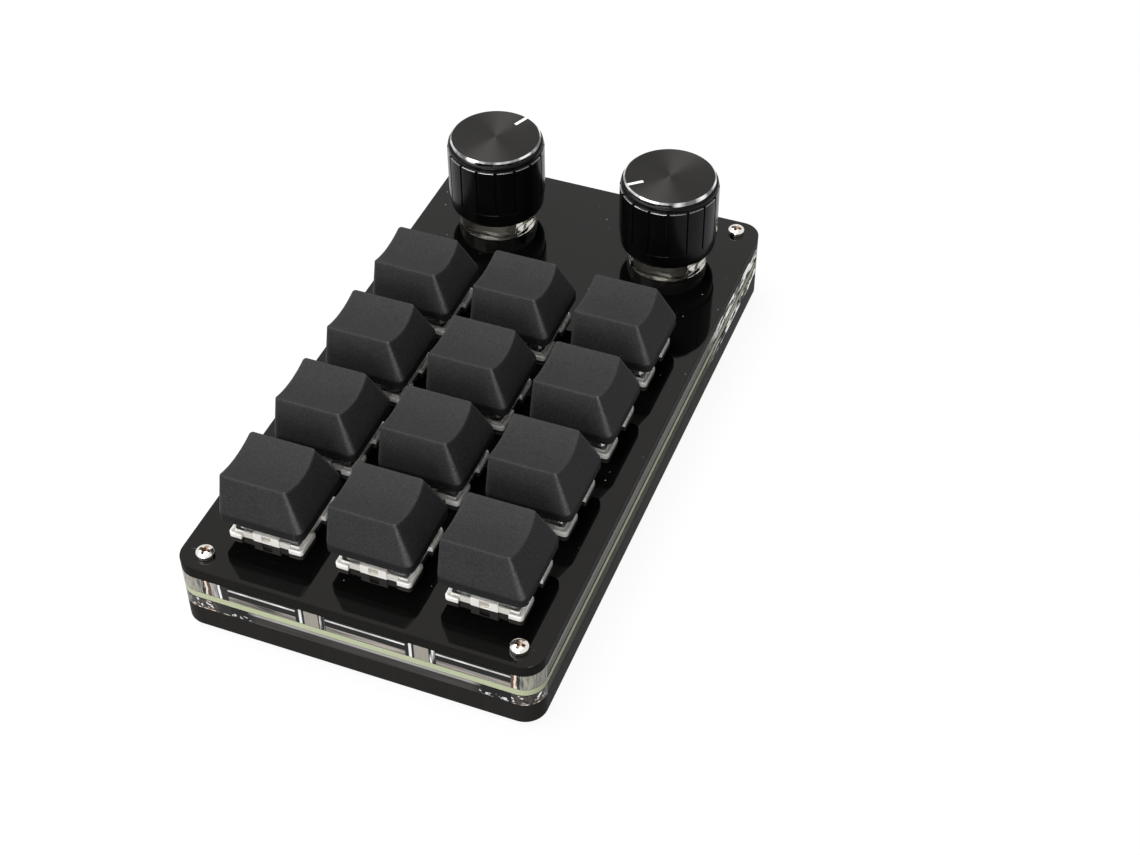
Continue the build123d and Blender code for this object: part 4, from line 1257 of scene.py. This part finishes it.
def pointer_mesh():
    """White line on a knob's face."""
    shape = bmesh.new()
    reach, half = DISC_RADIUS - DISC_EDGE, POINTER_WIDTH / 2
    add_block(shape, (reach - POINTER_LENGTH, -half, DISC_THICK - 0.1), (reach, half, DISC_THICK + 0.03))
    soften(shape, 0.025, 1)
    return to_mesh(shape, "pointer")


def dress_knobs():
    """Both knobs with their grips, faces and pointers."""
    seat = KNOB_HEIGHT - DISC_THICK
    core = [(0, KNOB_BORE_END), (KNOB_BORE, KNOB_BORE_END), (KNOB_BORE, GRIP_FOOT), (KNOB_HOLLOW, GRIP_FOOT),
            (KNOB_HOLLOW, 0.15 - KNOB_DROP), (KNOB_HOLLOW + 0.15, -KNOB_DROP)]
    core += arc_points((KNOB_SKIRT - KNOB_ROUND, KNOB_ROUND - KNOB_DROP), KNOB_ROUND, -90, 0, 8)
    core += [(KNOB_SKIRT, 3.75 - KNOB_DROP), (KNOB_CORE, 3.9 - KNOB_DROP), (KNOB_CORE, GRIP_TOP)]
    core += [(KNOB_NECK, 14.5), (KNOB_NECK, 14.75), (10.62, 14.9), (10.7, 15.05)]
    core += arc_points((DISC_RADIUS, seat - 0.52), 0.52, 0, 80, 5) + [(DISC_RADIUS, seat), (0, seat)]
    low = DECK + KNOB_LIFT
    for side, (x, turn) in SIDES.items():
        body = f"knob_{side}"
        piece(f"knob_core_{side}", moved(turned(core, 128), x, KNOB_Y, low, turn), body, f"knob_body_{side}",
              slot="knob_black", finishes=[KNOB], crease=30)
        grips = grown(RING, grip_mesh(GRIP_FOOT - KNOB_DROP, GRIP_TOP), Finish=KNOB, Count=GRIPS,
                      Turn=radians(turn + 180 / GRIPS), Middle=(x * MM, KNOB_Y * MM, low * MM))
        piece(f"knob_grips_{side}", grips, body, slot="knob_black", crease=30)
        disc = moved(face_mesh(), x, KNOB_Y, low + seat, turn)
        piece(f"knob_face_{side}", disc, body, f"knob_disc_{side}", slot="knob_face",
              finishes=[face_finish(side, (x, KNOB_Y)), BRIGHT_EDGE], crease=20)
        piece(f"knob_pointer_{side}", moved(pointer_mesh(), x, KNOB_Y, low + seat, turn), body,
              slot="knob_face", finishes=[POINTER])


def dress_knob_seats():
    """Clear rings and threaded bushings under the knobs."""
    thread = [(BUSH_BORE, 0.0), (BUSH_RADIUS, 0.0)]
    for i in range(THREAD_TURNS):
        rise = i * THREAD_STEP
        thread += [(BUSH_RADIUS, 0.6 + rise), (THREAD_ROOT, 0.8 + rise), (THREAD_ROOT, 1.0 + rise),
                   (BUSH_RADIUS, 1.2 + rise)]
    thread += [(BUSH_RADIUS, BUSH_HEIGHT - 0.2), (BUSH_RADIUS - 0.15, BUSH_HEIGHT), (BUSH_BORE, BUSH_HEIGHT)]
    for side, (x, _) in SIDES.items():
        first = side == "left"
        ring = cut_sheet(circle(RING_RADIUS, 120), [encoder_window()], AIR, RING_HEIGHT, 0.18)
        piece(f"clear_ring_{side}", moved(ring, x, KNOB_Y, DECK), "case", *(["knob_rings"] if first else []),
              slot="clear_acrylic", finishes=[RING_CLEAR])
        bush = moved(turned(thread, 64, closed=True), x, KNOB_Y, BOARD_TOP + BUSH_LIFT)
        piece(f"encoder_bush_{side}", bush, "case", *(["encoder_bushings"] if first else []),
              slot="bare_aluminium", finishes=[ALUMINIUM])


def dress_socket():
    """Metal shell of the socket in the back edge."""
    shape = bmesh.new()
    rings = []
    for wide, high, y in SOCKET_LEVELS:
        loop = rounded(wide, high, high / 2 - 0.001, 10)
        rings.append([(x, y, z) for x, z in loop])
    add_skin(shape, rings)
    shell = moved(to_mesh(shape, "shell"), 0, CASE_Y / 2 - SOCKET_INSET, BOARD_TOP + SOCKET_RISE)
    piece("socket_shell", shell, "case", "usb_shell", slot="plated_steel", finishes=[STEEL])


def dress_hidden():
    """Finishes of the nodes that keep their own shape."""
    kept = {
        "pillars": BRASS, "switch_blades": BRASS, "encoder_domes": SPRING, "encoder_cases": STEEL,
        "encoder_leads": STEEL, "encoder_bases": DARK, "usb_tongue": DARK, "controller_chip": DARK,
    }
    for side in SIDES:
        kept[f"encoder_rotor_{side}"] = DARK
        kept[f"encoder_shaft_{side}"] = ALUMINIUM
    for name, _, _ in key_places():
        kept[f"stem_{name}"] = STEM
    for name, finish in kept.items():
        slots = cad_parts[name].data.materials
        slots.clear()
        slots.append(finish)


def bare_tree(owner):
    """Empty shader tree of a material or world."""
    owner.use_nodes = True
    owner.node_tree.nodes.clear()
    return Tree(owner.node_tree)


def seen_ray(tree):
    """1 for rays that look at, mirror or see through to the surroundings, 0 after a matte surface."""
    path = tree.node("ShaderNodeLightPath", out="Is Camera Ray")
    mirrored = path.maths("MAXIMUM", path.of("Is Glossy Ray"))
    return mirrored.maths("MAXIMUM", path.of("Is Transmission Ray")) * (path.of("Diffuse Depth") < 0.5)


def dress_studio():
    """White floor, soft room light and lamps."""
    ground = bpy.data.materials.new("studio_floor")
    tree = bare_tree(ground)
    seen = seen_ray(tree)
    matte = tree.node("ShaderNodeBsdfDiffuse", None, {"Color": tree.mix(seen, grey(0.32), grey(0.85))})
    white = tree.node("ShaderNodeEmission", None, {"Color": grey(1.0), "Strength": 1.0})
    both = tree.node("ShaderNodeMixShader", None, {0: seen * FLOOR_WHITE, 1: matte, 2: white})
    tree.node("ShaderNodeOutputMaterial", None, {"Surface": both})
    shape = bmesh.new()
    bmesh.ops.create_grid(shape, x_segments=1, y_segments=1, size=FLOOR_SIZE)
    mesh = to_mesh(shape, "floor")
    mesh.materials.append(ground)
    floor = shown("floor", mesh)

    world = bpy.data.worlds.new("studio")
    bpy.context.scene.world = world
    tree = bare_tree(world)
    room = tree.node("ShaderNodeBackground", None, {"Color": grey(1.0), "Strength": ROOM_LIGHT})
    white = tree.node("ShaderNodeBackground", None, {"Color": grey(1.0), "Strength": 1.0})
    both = tree.node("ShaderNodeMixShader", None, {0: seen_ray(tree), 1: room, 2: white})
    tree.node("ShaderNodeOutputWorld", None, {"Surface": both})

    for name, place, size, watts in LAMPS:
        lamp = bpy.data.lights.new(name, "AREA")
        lamp.shape, lamp.size, lamp.energy = "DISK", size, watts
        aim = Vector(LAMP_TARGET) - Vector(place)
        turn = aim.to_track_quat("-Z", "Y").to_matrix().to_4x4()
        shown(name, lamp).matrix_world = Matrix.Translation(place) @ turn


def place_camera():
    """Camera where the photograph was taken from."""
    data = bpy.data.cameras.new("camera")
    data.sensor_fit, data.sensor_width, data.lens = "HORIZONTAL", CAMERA_SENSOR, CAMERA_LENS
    data.clip_start, data.clip_end = 0.01, 20.0
    camera = shown("camera", data)
    turn = Matrix((CAMERA_RIGHT, CAMERA_UP, CAMERA_BACK)).transposed().to_4x4()
    camera.matrix_world = Matrix.Translation(Vector(CAMERA_PLACE) * MM) @ turn
    bpy.context.scene.camera = camera


dress_layers()
dress_fasteners()
dress_switches()
dress_springs()
dress_keys()
dress_knobs()
dress_knob_seats()
dress_socket()
dress_hidden()
dress_studio()
place_camera()
bpy.context.scene.view_settings.view_transform = "Standard"
